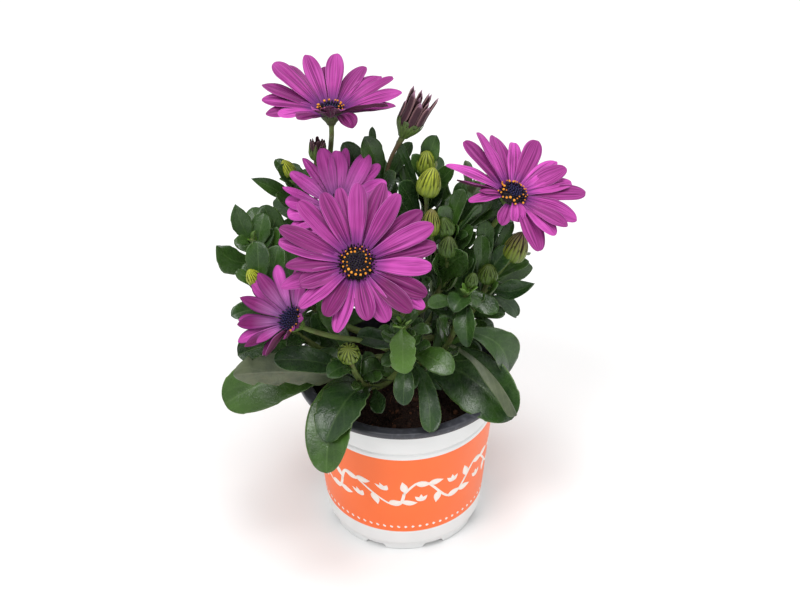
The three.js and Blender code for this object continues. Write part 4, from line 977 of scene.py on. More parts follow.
def pot_rings(sides=288):
    """The pot's section swept round, with notches through the foot ring and dimples at the drain holes.

    The white side of the sheet runs from the middle of the underside up to the lip, the dark side over the
    lip and down to the floor. A notch raises what lies below its roof by a soft step of the angle from the
    notch's middle.
    """
    height, wall, lip, top = POT["height"], POT["wall"], POT["lip_radius"], POT["top_radius"]
    roof, neck, pad = POT["foot_height"], POT["neck"], POT["pad_radius"]
    foot = POT["base_radius"] - POT["foot_inset"]
    foot_in = foot - POT["foot_width"]
    under, lip_end = height - wall, height - POT["lip_drop"]
    beside, stepped = outer_radius(neck) - 0.1, outer_radius(neck) - POT["neck_step"]
    white = [(0, 0), (4, 0), (8, 0), (pad - 0.4, 0), (pad + 0.6, 0.5), (pad + 1.6, roof - 0.3),
             (pad + 2.4, roof)]
    white += [(r, roof) for r in np.linspace(16, foot_in - 1.2, 22)]
    white += [(foot_in - 0.6, roof - 0.4), (foot_in - 0.2, 0.6), (foot_in + 0.6, 0), (foot - 3.5, 0),
              (foot - 0.8, 0), (foot - 0.2, 0.25), (foot, 0.8), (foot + 0.05, 2.0), (foot + 0.1, 3.4),
              (foot + 0.2, 5.2), (foot + 0.4, 5.8), (outer_radius(6.6) - 0.1, 6.5), (outer_radius(8), 7.6)]
    white += [(outer_radius(z), z) for z in np.linspace(9, neck - 1.6, 30)]
    white += [(beside, neck - 0.9), (stepped, neck - 0.3), (stepped, neck + 0.3), (beside, neck + 0.9)]
    white += [(outer_radius(z), z) for z in np.linspace(neck + 1.6, under - 2.4, 8)]
    white += [(top + 0.2, under - 1.2), (top + 1.0, under - 0.3), (top + 2.0, under)]
    dark = [(lip - wall - 0.6, under), (lip - wall - 0.1, under - 0.4), (lip - wall, lip_end + 0.4),
            (lip - wall + 0.3, lip_end), (lip - 0.3, lip_end), (lip, lip_end + 0.4), (lip, height - 1.5),
            (lip - 0.15, height - 0.7), (lip - 0.6, height - 0.15), (lip - 1.2, height),
            (lip - 3.2, height - 0.05), (lip - POT["lip_width"], height - 0.1),
            (lip - POT["lip_width"] - 0.8, height - 0.5), (top - wall + 0.2, INNER_EDGE)]
    dark += [(inner_radius(z), z) for z in (96, 90, 60, 30, 10, POT_FLOOR + 0.8)]
    dark += [(inner_radius(POT_FLOOR) - 0.8, POT_FLOOR), (20, POT_FLOOR), (0, POT_FLOOR)]
    profile = white + dark
    outside = np.arange(len(profile))[:, None] < len(white)
    rings = turned(profile, sides)
    x, y, z = (rings[..., k] for k in range(3))
    pitch = 2 * np.pi / POT["notches"]
    from_notch = np.abs((circle(sides)[None] % pitch) - pitch / 2) * POT["base_radius"]
    notch = smooth(POT["notch_width"] / 2 + 0.8, POT["notch_width"] / 2 - 0.8, from_notch)
    ring = smooth(foot_in - 1.4, foot_in - 0.4, np.array(profile)[:, :1])
    low = outside & (z < roof) & (ring > 0)
    z[:] = np.where(low, z + (roof - z) * notch, z)
    hole = np.zeros_like(z)
    for k in range(POT["notches"]):
        turn = pitch * (k + 0.5)
        away = np.hypot(x - POT["drain_circle"] * math.cos(turn), y - POT["drain_circle"] * math.sin(turn))
        hole = np.maximum(hole, smooth(POT["drain_radius"] + 0.3, POT["drain_radius"] - 0.3, away))
    hole = np.where(outside & (z < roof + 0.1), hole, 0)
    z += 0.9 * hole
    return skin(rings, finish=np.where(outside[:, 0], 0, 1), hole=hole)


def on_wall(around, z, proud):
    """Points on the outside of the pot: around is the way along the wall in mm, z the height."""
    radius = outer_radius(z)
    return swept(radius + proud, around / radius - math.pi / 2, z)


def ink_patch(around, z):
    """A printed patch: a closed thin skin between two edges, given as arrays of [row, edge]."""
    across = np.linspace(0, 1, 5)[None]
    a = around[:, :1] * (1 - across) + around[:, 1:] * across
    h = z[:, :1] * (1 - across) + z[:, 1:] * across
    return skin(np.concatenate([on_wall(a, h, INK), on_wall(a[:, ::-1], h[:, ::-1], -INK)], 1))


def ink_stroke(around, z, width):
    """A printed stroke of a given width along a line of points on the wall."""
    away, rise = np.gradient(around), np.gradient(z)
    normal = np.stack([-rise, away], -1) / np.hypot(away, rise)[:, None] * np.reshape(width, (-1, 1)) / 2
    return ink_patch(np.stack([around - normal[:, 0], around + normal[:, 0]], 1),
                     np.stack([z - normal[:, 1], z + normal[:, 1]], 1))


def ink_leaf(around, z, length, width, turn):
    """A printed leaf or petal: a stroke whose width is a bell along its line."""
    t = np.linspace(0, 1, 14)
    size = width * np.sin(np.pi * np.clip(t, 0.02, 0.98) ** 0.8)
    return ink_stroke(around + length * t * math.cos(turn), z + length * t * math.sin(turn), size)


def pot_print():
    """The band's print: a garland round the pot, with leaves, small blossoms and a dotted line under it.

    The garland's height is a sine of the way round, and its leaves stand out to both sides of it.
    """
    waves, reach = PRINT["waves"], PRINT["reach"]
    middle = (BAND["low"] + BAND["high"]) / 2 + 2
    round_way = 2 * math.pi * outer_radius(middle)
    parts = []
    for k in range(waves):
        t = np.linspace(k, k + 1, 24)
        height = middle + reach * np.sin(2 * np.pi * t)
        parts.append(ink_stroke(round_way * t / waves, height, PRINT["line"]))
        for share, side in ((0.02, 1), (0.17, -1), (0.36, 1), (0.52, -1), (0.67, 1), (0.86, -1)):
            at = k + share
            slope = math.atan2(reach * 2 * math.pi * math.cos(2 * math.pi * at), round_way / waves)
            a, h = round_way * at / waves, middle + reach * math.sin(2 * math.pi * at)
            parts.append(ink_leaf(a, h, *PRINT["leaf"], slope + side * 0.8))
        for share, lift in ((0.25, -13.5), (0.75, 13.5)):
            a = round_way * (k + share) / waves
            h = middle + reach * math.sin(2 * math.pi * (k + share)) + lift
            for side in (-1, 0, 1):
                parts.append(ink_leaf(a, h - 2, *PRINT["petal"], math.pi / 2 + side * 0.7))
    level = BAND["low"] + 4
    for k in range(PRINT["dots"]):
        a = 2 * math.pi * outer_radius(level) * k / PRINT["dots"]
        parts.append(ink_leaf(a, level, PRINT["dot"], PRINT["dot"], 0))
    return parts


def soil_top(x, y):
    """The soil's height: a low crown and a sum of waves, the slow ones higher than the quick ones."""
    level = SOIL["top"] + SOIL["crown"] * np.exp(-(np.hypot(x, y) / SOIL["crown_width"]) ** 2)
    for _ in range(SOIL["waves"]):
        fx, fy, phase = rng.uniform(-0.5, 0.5), rng.uniform(-0.5, 0.5), rng.uniform(0, 6.28)
        level = level + 0.13 / (0.3 + math.hypot(fx, fy)) * np.sin(fx * x + fy * y + phase)
    return level


def peat():
    """The soil: a lumpy top over a plug that fills the pot, with crumbs and fibres on it."""
    half, step = SOIL["half"], SOIL["step"]
    grid = np.linspace(-half, half, int(2 * half / step) + 1)
    heights = soil_top(*np.meshgrid(grid, grid, indexing="ij"))

    def level(px, py):
        """The soil's height at places, from the grid."""
        i, j = (np.clip(((p + half) / step).astype(int), 0, len(grid) - 1) for p in (px, py))
        return heights[i, j]

    edge = inner_radius(SOIL["top"]) - 0.5
    sides = 144
    radius = np.linspace(0.05, edge, 52)[:, None]
    top = swept(radius, circle(sides)[None], 0 * radius)
    top[..., 2] = level(top[..., 0], top[..., 1]) - 1.5 * smooth(edge - 6, edge, radius)
    floor = POT_FLOOR + 0.3
    side = turned([(edge - 0.1, SOIL["top"] - 6), (inner_radius(floor) - 0.6, floor), (0, floor)], sides)
    parts = [skin(np.concatenate([top, side]), tint=0.5)]
    count = SOIL["crumbs"]
    r, a = (edge - 2) * np.sqrt(rng.uniform(0, 1, count)), rng.uniform(0, 2 * np.pi, count)
    px, py = r * np.cos(a), r * np.sin(a)
    size = 0.45 + 1.5 * rng.uniform(0, 1, count) ** 3
    places = np.stack([px, py, level(px, py) - 0.5 * size], -1)
    tilt = np.stack([rng.uniform(-1, 1, count), rng.uniform(-1, 1, count), rng.uniform(0.2, 1, count)], -1)
    parts.append(beads(places, tilt, 1.9 * size, size * rng.uniform(0.7, 1.1, count),
                       tint=rng.uniform(0, 1, count)))
    for _ in range(SOIL["fibres"]):
        r, a, turn = (edge - 8) * math.sqrt(rng.uniform()), rng.uniform(0, 6.28), rng.uniform(0, 6.28)
        start = np.array([r * math.cos(a), r * math.sin(a)])
        end = start + rng.uniform(3, 9) * np.array([math.cos(turn), math.sin(turn)])
        bend = (start + end) / 2 + rng.uniform(-2, 2, 2)
        line = bezier([(*start, 0), (*bend, 0), (*end, 0)], np.linspace(0, 1, 8))
        line[:, 2] = level(line[:, 0], line[:, 1]) + rng.uniform(0.1, 1.0)
        parts.append(tube(line, 0.16, sides=5, rib=0, tint=rng.uniform(0.6, 1)))
    return parts


# ------------------------------------------------------------------ materials

PER_MM = 1000         # a noise's scale for one spot in each mm, because places are in metres
COLOUR = dict(data_type="RGBA")


def linear(code):
    """An sRGB hex colour as linear values."""
    parts = [int(code[i:i + 2], 16) / 255 for i in (1, 3, 5)]
    return (*[p / 12.92 if p <= 0.04045 else ((p + 0.055) / 1.055) ** 2.4 for p in parts], 1.0)


def add(tree, kind, inputs=(), output=None, **settings):
    """Adds a node with its settings and gives one of its outputs, the first one unless output names another.

    inputs maps a socket's name or number to a plain value, an sRGB hex colour or another node's output.
    """
    node = tree.nodes.new("ShaderNode" + kind)
    for key, value in settings.items():
        setattr(node, key, value)
    for key, value in dict(inputs).items():
        shown = [s for s in node.inputs if s.enabled]
        socket = shown[key] if isinstance(key, int) else next(s for s in shown if s.name == key)
        if isinstance(value, bpy.types.NodeSocket):
            tree.links.new(value, socket)
        else:
            socket.default_value = linear(value) if isinstance(value, str) else value
    return node.outputs[output] if output else next(s for s in node.outputs if s.enabled)


def surface(name, constants, marks=()):
    """A new material, its node tree, the object's own coordinates and the values of the skins' marks.

    constants are plain values of the Principled shader's sockets.
    """
    material = bpy.data.materials.new(name)
    material.use_nodes = True
    tree = material.node_tree
    for key, value in constants.items():
        tree.nodes["Principled BSDF"].inputs[key].default_value = value
    place = add(tree, "TexCoord", output="Object")
    return material, tree, place, *(add(tree, "Attribute", attribute_name=m, output="Fac") for m in marks)


def coated(material, colour, relief, strength, depth, rough=None, **settings):
    """The material with its colour, its roughness where that varies, and a relief that is depth mm deep."""
    tree = material.node_tree
    bump = add(tree, "Bump", {"Height": relief, "Strength": strength, "Distance": depth * MM}, **settings)
    for key, value in {"Base Color": colour, "Roughness": rough, "Normal": bump}.items():
        if value is not None:
            tree.links.new(value, tree.nodes["Principled BSDF"].inputs[key])
    return material


def waxy_leaf():
    """Fleshy leaf with a waxy cuticle: a soft sheen over dark green, dull grey-green below, paler veins.

    Clouds of colour are 11 mm across and the buckles of the blade 4 mm. The cuticle's own grain is finer
    than 0.1 mm, so it is drawn as coarse as 0.7 mm to show.
    """
    material, tree, place, across, along, face, tint, young = surface(
        "waxy_leaf_cuticle", {"IOR": 1.48}, ("across", "along", "face", "tint", "young"))
    cloud = add(tree, "TexNoise", {"Vector": place, "Scale": 0.09 * PER_MM, "Detail": 3.0})
    grain = add(tree, "TexNoise", {"Vector": place, "Scale": 1.4 * PER_MM})
    buckle = add(tree, "TexNoise", {"Vector": place, "Scale": 0.23 * PER_MM})
    shade = add(tree, "MapRange", {"Value": cloud, "From Min": 0.35, "From Max": 0.65})
    upper = add(tree, "Mix", {"Factor": shade, "A": "#203818", "B": "#3a5a22"}, **COLOUR)
    deep = add(tree, "Math", {0: tint, 1: 0.7}, operation="MULTIPLY")
    # Side veins leave the midrib at a slant, seven on a blade: waves of the way along less a part of the
    # way out.
    out = add(tree, "Math", {0: across}, operation="ABSOLUTE")
    slant = add(tree, "Math", {0: out, 1: -0.3, 2: along}, operation="MULTIPLY_ADD")
    waves = add(tree, "Math", {0: slant, 1: 42.0}, operation="MULTIPLY")
    waves = add(tree, "Math", {0: waves}, operation="SINE")
    side_veins = add(tree, "MapRange", {"Value": waves, "From Min": 0.6, "To Max": 0.14})
    midrib = add(tree, "MapRange", {"Value": out, "From Min": 0.07, "From Max": 0.0, "To Max": 0.7})
    veins = add(tree, "Math", {0: side_veins, 1: midrib}, operation="MAXIMUM")
    pale = add(tree, "Math", {0: veins, 1: 0.3}, operation="MULTIPLY")
    margin = add(tree, "MapRange", {"Value": out, "From Min": 0.95, "From Max": 0.99, "To Max": 0.6})
    for factor, code in ((deep, "#213a21"), (young, "#648f2a"), (pale, "#7c9a5c"), (margin, "#86a362")):
        upper = add(tree, "Mix", {"Factor": factor, "A": upper, "B": code}, **COLOUR)
    lower = add(tree, "Mix", {"Factor": shade, "A": "#3c4730", "B": "#5a6346"}, **COLOUR)
    keel = add(tree, "Math", {0: veins, 1: 0.45}, operation="MULTIPLY")
    for factor, code in ((young, "#76984a"), (keel, "#94967f")):
        lower = add(tree, "Mix", {"Factor": factor, "A": lower, "B": code}, **COLOUR)
    under = add(tree, "MapRange", {"Value": face, "From Max": -0.6})
    colour = add(tree, "Mix", {"Factor": under, "A": upper, "B": lower}, **COLOUR)
    gloss = add(tree, "MapRange", {"Value": buckle, "From Min": 0.3, "From Max": 0.7,
                                   "To Min": 0.2, "To Max": 0.36})
    rough = add(tree, "Math", {0: under, 1: 0.2, 2: gloss}, operation="MULTIPLY_ADD")
    relief = add(tree, "Math", {0: veins, 1: -0.8, 2: grain}, operation="MULTIPLY_ADD")
    relief = add(tree, "Math", {0: buckle, 1: 3.0, 2: relief}, operation="MULTIPLY_ADD")
    return coated(material, colour, relief, 0.4, 0.3, rough)


def green_stem():
    """Ribbed herbaceous stem with short hairs: dull satin green, flushed purple-brown in patches.

    The patches are 8 mm long. The hairs are about 0.1 mm, so their grain is drawn at 0.7 mm to show.
    """
    material, tree, place, tint, young = surface(
        "ribbed_green_stem", {"IOR": 1.42, "Roughness": 0.55}, ("tint", "young"))
    flush = add(tree, "TexNoise", {"Vector": place, "Scale": 0.12 * PER_MM, "Detail": 3.0})
    grain = add(tree, "TexNoise", {"Vector": place, "Scale": 1.5 * PER_MM})
    share = add(tree, "MapRange", {"Value": flush, "From Min": 0.48, "From Max": 0.72, "To Max": 0.6})
    share = add(tree, "Math", {0: share, 1: young}, operation="MAXIMUM")
    green = add(tree, "Mix", {"Factor": tint, "A": "#66763c", "B": "#566b30"}, **COLOUR)
    colour = add(tree, "Mix", {"Factor": share, "A": green, "B": "#593c33"}, **COLOUR)
    return coated(material, colour, grain, 0.3, 0.2)


def bract_scale():
    """Scale of an involucre, a small stiff leaf: satin green with a dark midline and a thin pale margin.

    Its mottling is about 1 mm across.
    """
    material, tree, place, across, along, young = surface(
        "bract_scale", {"IOR": 1.42, "Roughness": 0.5}, ("across", "along", "young"))
    grain = add(tree, "TexNoise", {"Vector": place, "Scale": 0.9 * PER_MM})
    out = add(tree, "Math", {0: across}, operation="ABSOLUTE")
    colour = add(tree, "Mix", {"Factor": grain, "A": "#3f5c25", "B": "#6d8c38"}, **COLOUR)
    middle = add(tree, "MapRange", {"Value": out, "From Min": 0.3, "From Max": 0.0, "To Max": 0.55})
    margin = add(tree, "MapRange", {"Value": out, "From Min": 0.75, "From Max": 0.98, "To Max": 0.7})
    tip = add(tree, "MapRange", {"Value": along, "From Min": 0.82, "To Max": 0.6})
    flush = add(tree, "Math", {0: young, 1: 0.8}, operation="MULTIPLY")
    for factor, code in ((middle, "#2a3a1c"), (margin, "#93a566"), (tip, "#4a2b35"), (flush, "#2b2420")):
        colour = add(tree, "Mix", {"Factor": factor, "A": colour, "B": code}, **COLOUR)
    return coated(material, colour, grain, 0.25, 0.2)


def silky_ray():
    """Ray floret, thin tissue of domed cells: silky magenta with uneven darker veins, purple-brown below.

    Patches of colour are 14 mm across. The veins lie about 0.6 mm apart, nine to each half of a ray, and
    hardly change along it. The cells are too fine to show, and a little sheen stands for them.
    """
    material, tree, place, across, along, face, tint, young = surface(
        "silky_ray_tissue",
        {"IOR": 1.38, "Sheen Weight": 0.08, "Sheen Roughness": 0.4, "Specular IOR Level": 0.35},
        ("across", "along", "face", "tint", "young"))
    cloud = add(tree, "TexNoise", {"Vector": place, "Scale": 0.07 * PER_MM})
    out = add(tree, "Math", {0: across}, operation="ABSOLUTE")
    # tint runs from the darkest to the lightest ray colour. Its low end, on the lower layer of rays, is
    # painted shade between the rays.
    upper = add(tree, "Mix", {"Factor": tint, "A": "#60104a", "B": "#da58c2"}, **COLOUR)
    patch = add(tree, "MapRange", {"Value": cloud, "From Min": 0.35, "From Max": 0.7, "To Max": 0.5})
    pale = add(tree, "MapRange", {"Value": along, "From Min": 0.7, "From Max": 0.15, "To Max": 0.8})
    pale = add(tree, "Math", {0: pale, 1: young}, operation="MULTIPLY")
    sides = add(tree, "MapRange", {"Value": out, "From Min": 0.4, "From Max": 0.95, "To Max": 0.75})
    sides = add(tree, "Math", {0: sides, 1: young}, operation="MULTIPLY")
    # Veins run the length of the ray: streaks of noise that is fine across it and long along it, and that
    # differs from ray to ray by tint.
    fine = add(tree, "Math", {0: across, 1: 9.0}, operation="MULTIPLY")
    length = add(tree, "Math", {0: along, 1: 1.1}, operation="MULTIPLY")
    other = add(tree, "Math", {0: tint, 1: 40.0}, operation="MULTIPLY")
    streak = add(tree, "CombineXYZ", {0: fine, 1: length, 2: other})
    streak = add(tree, "TexNoise", {"Vector": streak, "Scale": 1.0})
    vein = add(tree, "MapRange", {"Value": streak, "From Min": 0.5, "From Max": 0.61})
    light = add(tree, "MapRange", {"Value": streak, "From Min": 0.46, "From Max": 0.3, "To Max": 0.5})
    fade = add(tree, "MapRange", {"Value": along, "From Min": 0.1, "To Min": 0.9, "To Max": 0.5})
    faint = add(tree, "Math", {0: young, 1: -0.8, 2: 1.0}, operation="MULTIPLY_ADD")
    fade = add(tree, "Math", {0: fade, 1: faint}, operation="MULTIPLY")
    vein = add(tree, "Math", {0: vein, 1: fade}, operation="MULTIPLY")
    light = add(tree, "Math", {0: light, 1: faint}, operation="MULTIPLY")
    foot = add(tree, "MapRange", {"Value": along, "From Min": 0.36, "From Max": 0.06, "To Max": 0.85})
    # The margin is a thin pale line, or a broad dark one on the palest rays.
    old = add(tree, "MapRange", {"Value": young, "From Min": 0.6, "From Max": 0.8})
    rim = add(tree, "MapRange", {"Value": old, "To Min": 0.94, "To Max": 0.78})
    rim = add(tree, "MapRange", {"Value": out, "From Min": rim, "To Max": 0.8})
    edge = add(tree, "Mix", {"Factor": old, "A": "#d98bcf", "B": "#4a1440"}, **COLOUR)
    for factor, code in ((patch, "#8e2074"), (pale, "#c48acb"), (sides, "#761c6e"), (light, "#cb58b4"),
                         (vein, "#5c1050"), (foot, "#451862"), (rim, edge)):
        upper = add(tree, "Mix", {"Factor": factor, "A": upper, "B": code}, **COLOUR)
    lower = add(tree, "Mix", {"Factor": vein, "A": "#54233f", "B": "#2c1420"}, **COLOUR)
    lower = add(tree, "Mix", {"Factor": rim, "A": lower, "B": "#a8509a"}, **COLOUR)
    under = add(tree, "MapRange", {"Value": face, "From Max": -0.6})
    colour = add(tree, "Mix", {"Factor": under, "A": upper, "B": lower}, **COLOUR)
    rough = add(tree, "MapRange", {"Value": cloud, "To Min": 0.42, "To Max": 0.6})
    return coated(material, colour, streak, 0.5, 0.4, rough, invert=True)


def floret(name, low, high, blue, roughness):
    """Disc floret, a small fleshy tube: it shines a little, and its colour varies from one to the next.

    Its mottling is 0.4 mm across, about as wide as a floret.
    """
    material, tree, place, tint, young = surface(
        name, {"IOR": 1.4, "Roughness": roughness}, ("tint", "young"))
    grain = add(tree, "TexNoise", {"Vector": place, "Scale": 2.5 * PER_MM})
    share = add(tree, "Math", {0: tint, 1: grain}, operation="MULTIPLY")
    share = add(tree, "MapRange", {"Value": share, "From Min": 0.05, "From Max": 0.55})
    colour = add(tree, "Mix", {"Factor": share, "A": low, "B": high}, **COLOUR)
    colour = add(tree, "Mix", {"Factor": young, "A": colour, "B": blue}, **COLOUR)
    return coated(material, colour, grain, 0.4, 0.2)


def bud_skin():
    """Rays rolled tight in a bud: waxy yellow-green ridges, with dark furrows that meet at the tip.

    Its speckles are 1.7 mm across.
    """
    material, tree, place, across, along, tint, ripe = surface(
        "rolled_bud_rays", {"IOR": 1.42, "Roughness": 0.42}, ("across", "along", "tint", "young"))
    grain = add(tree, "TexNoise", {"Vector": place, "Scale": 0.6 * PER_MM})
    higher = add(tree, "MapRange", {"Value": along, "From Min": 0.1, "From Max": 0.75,
                                    "To Min": 0.15, "To Max": 1.1})
    share = add(tree, "Math", {0: tint, 1: higher}, operation="MULTIPLY")
    colour = add(tree, "Mix", {"Factor": share, "A": "#435f23", "B": "#d6e038"}, **COLOUR)
    speckle = add(tree, "MapRange", {"Value": grain, "From Min": 0.3, "From Max": 0.9, "To Max": 0.5})
    dark = add(tree, "Mix", {"Factor": ripe, "A": "#26340f", "B": "#32151f"}, **COLOUR)
    furrow = add(tree, "MapRange", {"Value": across, "From Min": 0.95, "From Max": 0.35})
    reach = add(tree, "MapRange", {"Value": along, "From Min": 0.1, "From Max": 0.6,
                                   "To Min": 0.5, "To Max": 0.95})
    furrow = add(tree, "Math", {0: furrow, 1: reach}, operation="MULTIPLY")
    depth = add(tree, "MapRange", {"Value": ripe, "From Max": 0.8, "To Min": 0.8})
    furrow = add(tree, "Math", {0: furrow, 1: depth}, operation="MULTIPLY")
    flush = add(tree, "MapRange", {"Value": along, "From Min": 0.4, "From Max": 0.9, "To Max": 0.95})
    flush = add(tree, "Math", {0: flush, 1: ripe}, operation="MULTIPLY")
    for factor, code in ((speckle, "#5c7a28"), (flush, "#7a5a4e"), (furrow, dark)):
        colour = add(tree, "Mix", {"Factor": factor, "A": colour, "B": code}, **COLOUR)
    return coated(material, colour, grain, 0.2, 0.2)


def rolled_ray_backs():
    """Backs of rolled or withered rays: dull purple-brown with dry tan edges and pale tips.

    Their mottling is 2 mm across.
    """
    material, tree, place, across, along, tint = surface(
        "rolled_ray_backs", {"IOR": 1.38, "Roughness": 0.6}, ("across", "along", "tint"))
    grain = add(tree, "TexNoise", {"Vector": place, "Scale": 0.5 * PER_MM, "Detail": 3.0})
    colour = add(tree, "Mix", {"Factor": tint, "A": "#301420", "B": "#5e3440"}, **COLOUR)
    out = add(tree, "Math", {0: across}, operation="ABSOLUTE")
    edge = add(tree, "MapRange", {"Value": out, "From Min": 0.6, "To Max": 0.75})
    tip = add(tree, "MapRange", {"Value": along, "From Min": 0.9, "To Max": 0.6})
    for factor, code in ((grain, "#2c1822"), (edge, "#ad8688"), (tip, "#c08fb0")):
        colour = add(tree, "Mix", {"Factor": factor, "A": colour, "B": code}, **COLOUR)
    return coated(material, colour, grain, 0.3, 0.3)


def drawn_white_sheet():
    """White polystyrene sheet drawn over a mould: satin and faintly wavy, with an orange band printed on it.

    The waves of the drawn sheet are 17 mm long. The sheet's grain is finer than 0.1 mm and is drawn at
    0.5 mm. The band's edges are 0.2 mm soft.
    """
    material, tree, place, hole = surface("drawn_white_sheet", {"IOR": 1.5}, ("hole",))
    waves = add(tree, "TexNoise", {"Vector": place, "Scale": 0.06 * PER_MM, "Detail": 1.0})
    grain = add(tree, "TexNoise", {"Vector": place, "Scale": 2.2 * PER_MM})
    height = add(tree, "SeparateXYZ", {"Vector": place}, output="Z")
    blur = 0.1 * MM
    low, high = BAND["low"] * MM, BAND["high"] * MM
    above = add(tree, "MapRange", {"Value": height, "From Min": low - blur, "From Max": low + blur})
    below = add(tree, "MapRange", {"Value": height, "From Min": high + blur, "From Max": high - blur})
    band = add(tree, "Math", {0: above, 1: below}, operation="MULTIPLY")
    white = add(tree, "Mix", {"Factor": waves, "A": "#ebecec", "B": "#e2e3e2"}, **COLOUR)
    orange = add(tree, "Mix", {"Factor": waves, "A": "#ff7128", "B": "#fa6b24"}, **COLOUR)
    printed = add(tree, "Mix", {"Factor": band, "A": white, "B": orange}, **COLOUR)
    colour = add(tree, "Mix", {"Factor": hole, "A": printed, "B": "#1c1210"}, **COLOUR)
    rough = add(tree, "MapRange", {"Value": grain, "To Min": 0.3, "To Max": 0.44})
    return coated(material, colour, waves, 0.3, 0.6, rough)


def dark_inner_sheet():
    """The sheet's dark inner layer, which shows at the rolled lip: bluish grey, satin, with faint scuffs.

    The scuffs are 3 mm across.
    """
    material, tree, place = surface("dark_inner_sheet", {"IOR": 1.5})
    scuff = add(tree, "TexNoise", {"Vector": place, "Scale": 0.35 * PER_MM, "Detail": 4.0})
    share = add(tree, "MapRange", {"Value": scuff, "From Min": 0.5, "From Max": 0.75})
    colour = add(tree, "Mix", {"Factor": share, "A": "#34353c", "B": "#4a4b53"}, **COLOUR)
    rough = add(tree, "MapRange", {"Value": scuff, "To Min": 0.3, "To Max": 0.5})
    return coated(material, colour, scuff, 0.1, 0.2, rough)


def white_ink():
    """Opaque screen-printed ink: a flat, slightly rough film of warm white, a little thin in places.

    The thin spots are about 1 mm across.
    """
    material, tree, place = surface("screen_printed_white_ink", {"IOR": 1.5, "Roughness": 0.5})
    thin = add(tree, "TexNoise", {"Vector": place, "Scale": 0.9 * PER_MM})
    share = add(tree, "MapRange", {"Value": thin, "From Min": 0.55, "From Max": 0.8, "To Max": 0.25})
    colour = add(tree, "Mix", {"Factor": share, "A": "#f6ece4", "B": "#ffb893"}, **COLOUR)
    return coated(material, colour, thin, 0.1, 0.1)


def moist_peat():
    """Moist peat substrate: matt brown-black crumbs, 1 mm across, with red-brown fibres."""
    material, tree, place, tint = surface(
        "moist_peat", {"IOR": 1.35, "Roughness": 0.9, "Specular IOR Level": 0.3}, ("tint",))
    crumbs = add(tree, "TexNoise", {"Vector": place, "Scale": 0.9 * PER_MM, "Detail": 5.0})
    share = add(tree, "MapRange", {"Value": crumbs, "From Min": 0.35, "From Max": 0.7})
    base = add(tree, "Mix", {"Factor": share, "A": "#150d0b", "B": "#36231b"}, **COLOUR)
    fibre = add(tree, "MapRange", {"Value": tint, "From Min": 0.8, "To Max": 0.8})
    colour = add(tree, "Mix", {"Factor": fibre, "A": base, "B": "#6a4430"}, **COLOUR)
    return coated(material, colour, crumbs, 0.8, 0.8)


def studio_paper():
    """Seamless paper: matt and nearly white, with clouds a third of a metre across."""
    material, tree, place = surface("studio_paper", {"Roughness": 0.9, "Specular IOR Level": 0.1})
    cloud = add(tree, "TexNoise", {"Vector": place, "Scale": 3.0})
    colour = add(tree, "Mix", {"Factor": cloud, "A": "#f7f7f7", "B": "#f2f2f2"}, **COLOUR)
    tree.links.new(colour, tree.nodes["Principled BSDF"].inputs["Base Color"])
    return material


# ------------------------------------------------------------------ the plant

leaf_blade = waxy_leaf()
stem_skin = green_stem()
bract_skin = bract_scale()
ray_tissue = silky_ray()
closed_floret = floret("closed_disc_floret", "#140a1e", "#2b1836", "#26234e", 0.5)
open_floret = floret("open_disc_floret", "#12070c", "#2c121c", "#170f26", 0.55)
pollen = floret("pollen_on_anthers", "#b85a0c", "#ffb440", "#ffb440", 0.85)
rolled_ray = bud_skin()
withered_ray = rolled_ray_backs()

for flower_name in FLOWERS:
    flower(flower_name)
for bud_name in BUDS:
    bud(bud_name)
for shoot_name in SHOOT_LEAVES:
    shoot(shoot_name)
for leaf_name in LARGE_LEAVES:
    large_leaf(leaf_name)
finished("trunk", [stem_tube("main", 24)], [stem_skin], ["main_stem"])
finished("peat_bed", peat(), [moist_peat()], ["soil"])
finished("nursery_pot", [pot_rings()], [drawn_white_sheet(), dark_inner_sheet()], ["pot"])
finished("pot_print", pot_print(), [white_ink()], [])
finished("inner_leaves", [inner_leaf(*entry) for entry in INNER_LEAVES], [leaf_blade], [])


# ------------------------------------------------------------------ camera, floor and light

# Camera: elevation and roll in degrees, distance and target in m, focal length and sensor width in mm.
CAMERA = dict(elevation=36.6, distance=0.9, target=(-0.0012, 0.0, 0.1475), roll=-0.57, lens=74.0, sensor=36)

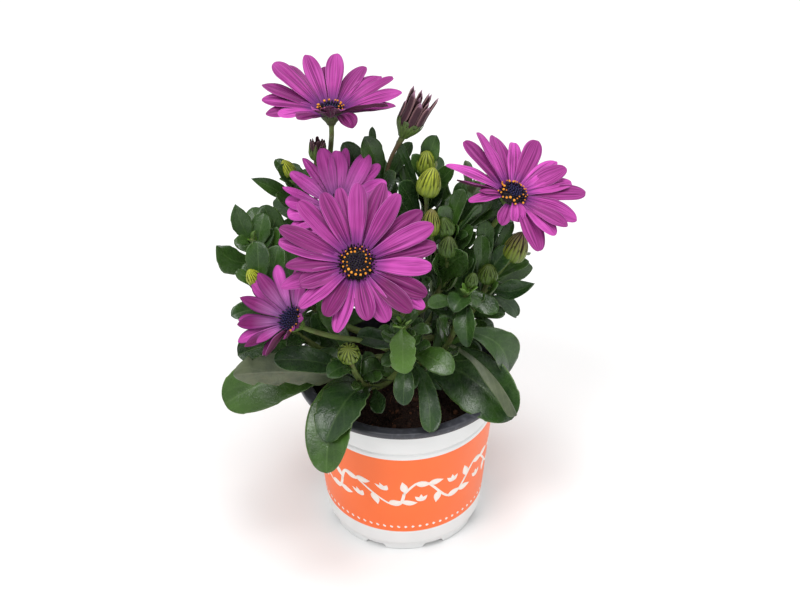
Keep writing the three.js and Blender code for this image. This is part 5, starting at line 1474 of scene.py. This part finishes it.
# Lights: place and side in m, power in W.
LIGHTS = {
    "key_light": ((-1.5, -1.8, 3.3), 1.3, 48.0),
    "top_light": ((0.1, -0.3, 3.5), 1.3, 54.0),
    "fill_light": ((2.8, -1.8, 2.6), 1.8, 24.0),
}
SURROUND = 0.6        # strength of the white surround
FLOOR_HALF = 8.0      # half the floor's side, in m


def aimed(name, data, across, upright, back, place):
    """A camera or light at a place, with its right, its top and its back along three axes."""
    obj = linked(name, data)
    rows = [[across[k], upright[k], back[k], place[k]] for k in range(3)]
    obj.matrix_world = Matrix([*rows, [0, 0, 0, 1]])
    return obj


def place_camera():
    """The camera looks along +Y from above, turned by a small roll about its own axis."""
    e, roll = math.radians(CAMERA["elevation"]), math.radians(CAMERA["roll"])
    back = np.array([0, -math.cos(e), math.sin(e)])
    right = np.array([1.0, 0, 0])
    up = np.cross(back, right)
    across = right * math.cos(roll) + up * math.sin(roll)
    upright = up * math.cos(roll) - right * math.sin(roll)
    eye = np.array(CAMERA["target"]) + back * CAMERA["distance"]
    data = bpy.data.cameras.new("studio_camera")
    data.lens, data.sensor_width = CAMERA["lens"], CAMERA["sensor"]
    bpy.context.scene.camera = aimed("studio_camera", data, across, upright, back, eye)


def soft_light(name, place, size, power):
    """A square area light that faces the middle of the plant."""
    data = bpy.data.lights.new(name, "AREA")
    data.size, data.energy = size, power
    away = unit(np.array(place) - np.array(CAMERA["target"]))
    across = unit(np.cross(UPWARDS, away))
    aimed(name, data, across, np.cross(away, across), away, place)


def studio():
    """A pale floor, an even white surround and three large soft lights."""
    a = FLOOR_HALF
    mesh = bpy.data.meshes.new("studio_floor")
    mesh.from_pydata([(-a, -a, 0), (a, -a, 0), (a, a, 0), (-a, a, 0)], [], [(0, 1, 2, 3)])
    mesh.materials.append(studio_paper())
    linked("studio_floor", mesh)
    world = bpy.data.worlds.new("studio_surround")
    world.use_nodes = True
    background = world.node_tree.nodes["Background"]
    background.inputs["Color"].default_value = linear("#ffffff")
    background.inputs["Strength"].default_value = SURROUND
    bpy.context.scene.world = world
    bpy.context.scene.view_settings.view_transform = "Standard"
    for name, (place, size, power) in LIGHTS.items():
        soft_light(name, place, size, power)


place_camera()
studio()
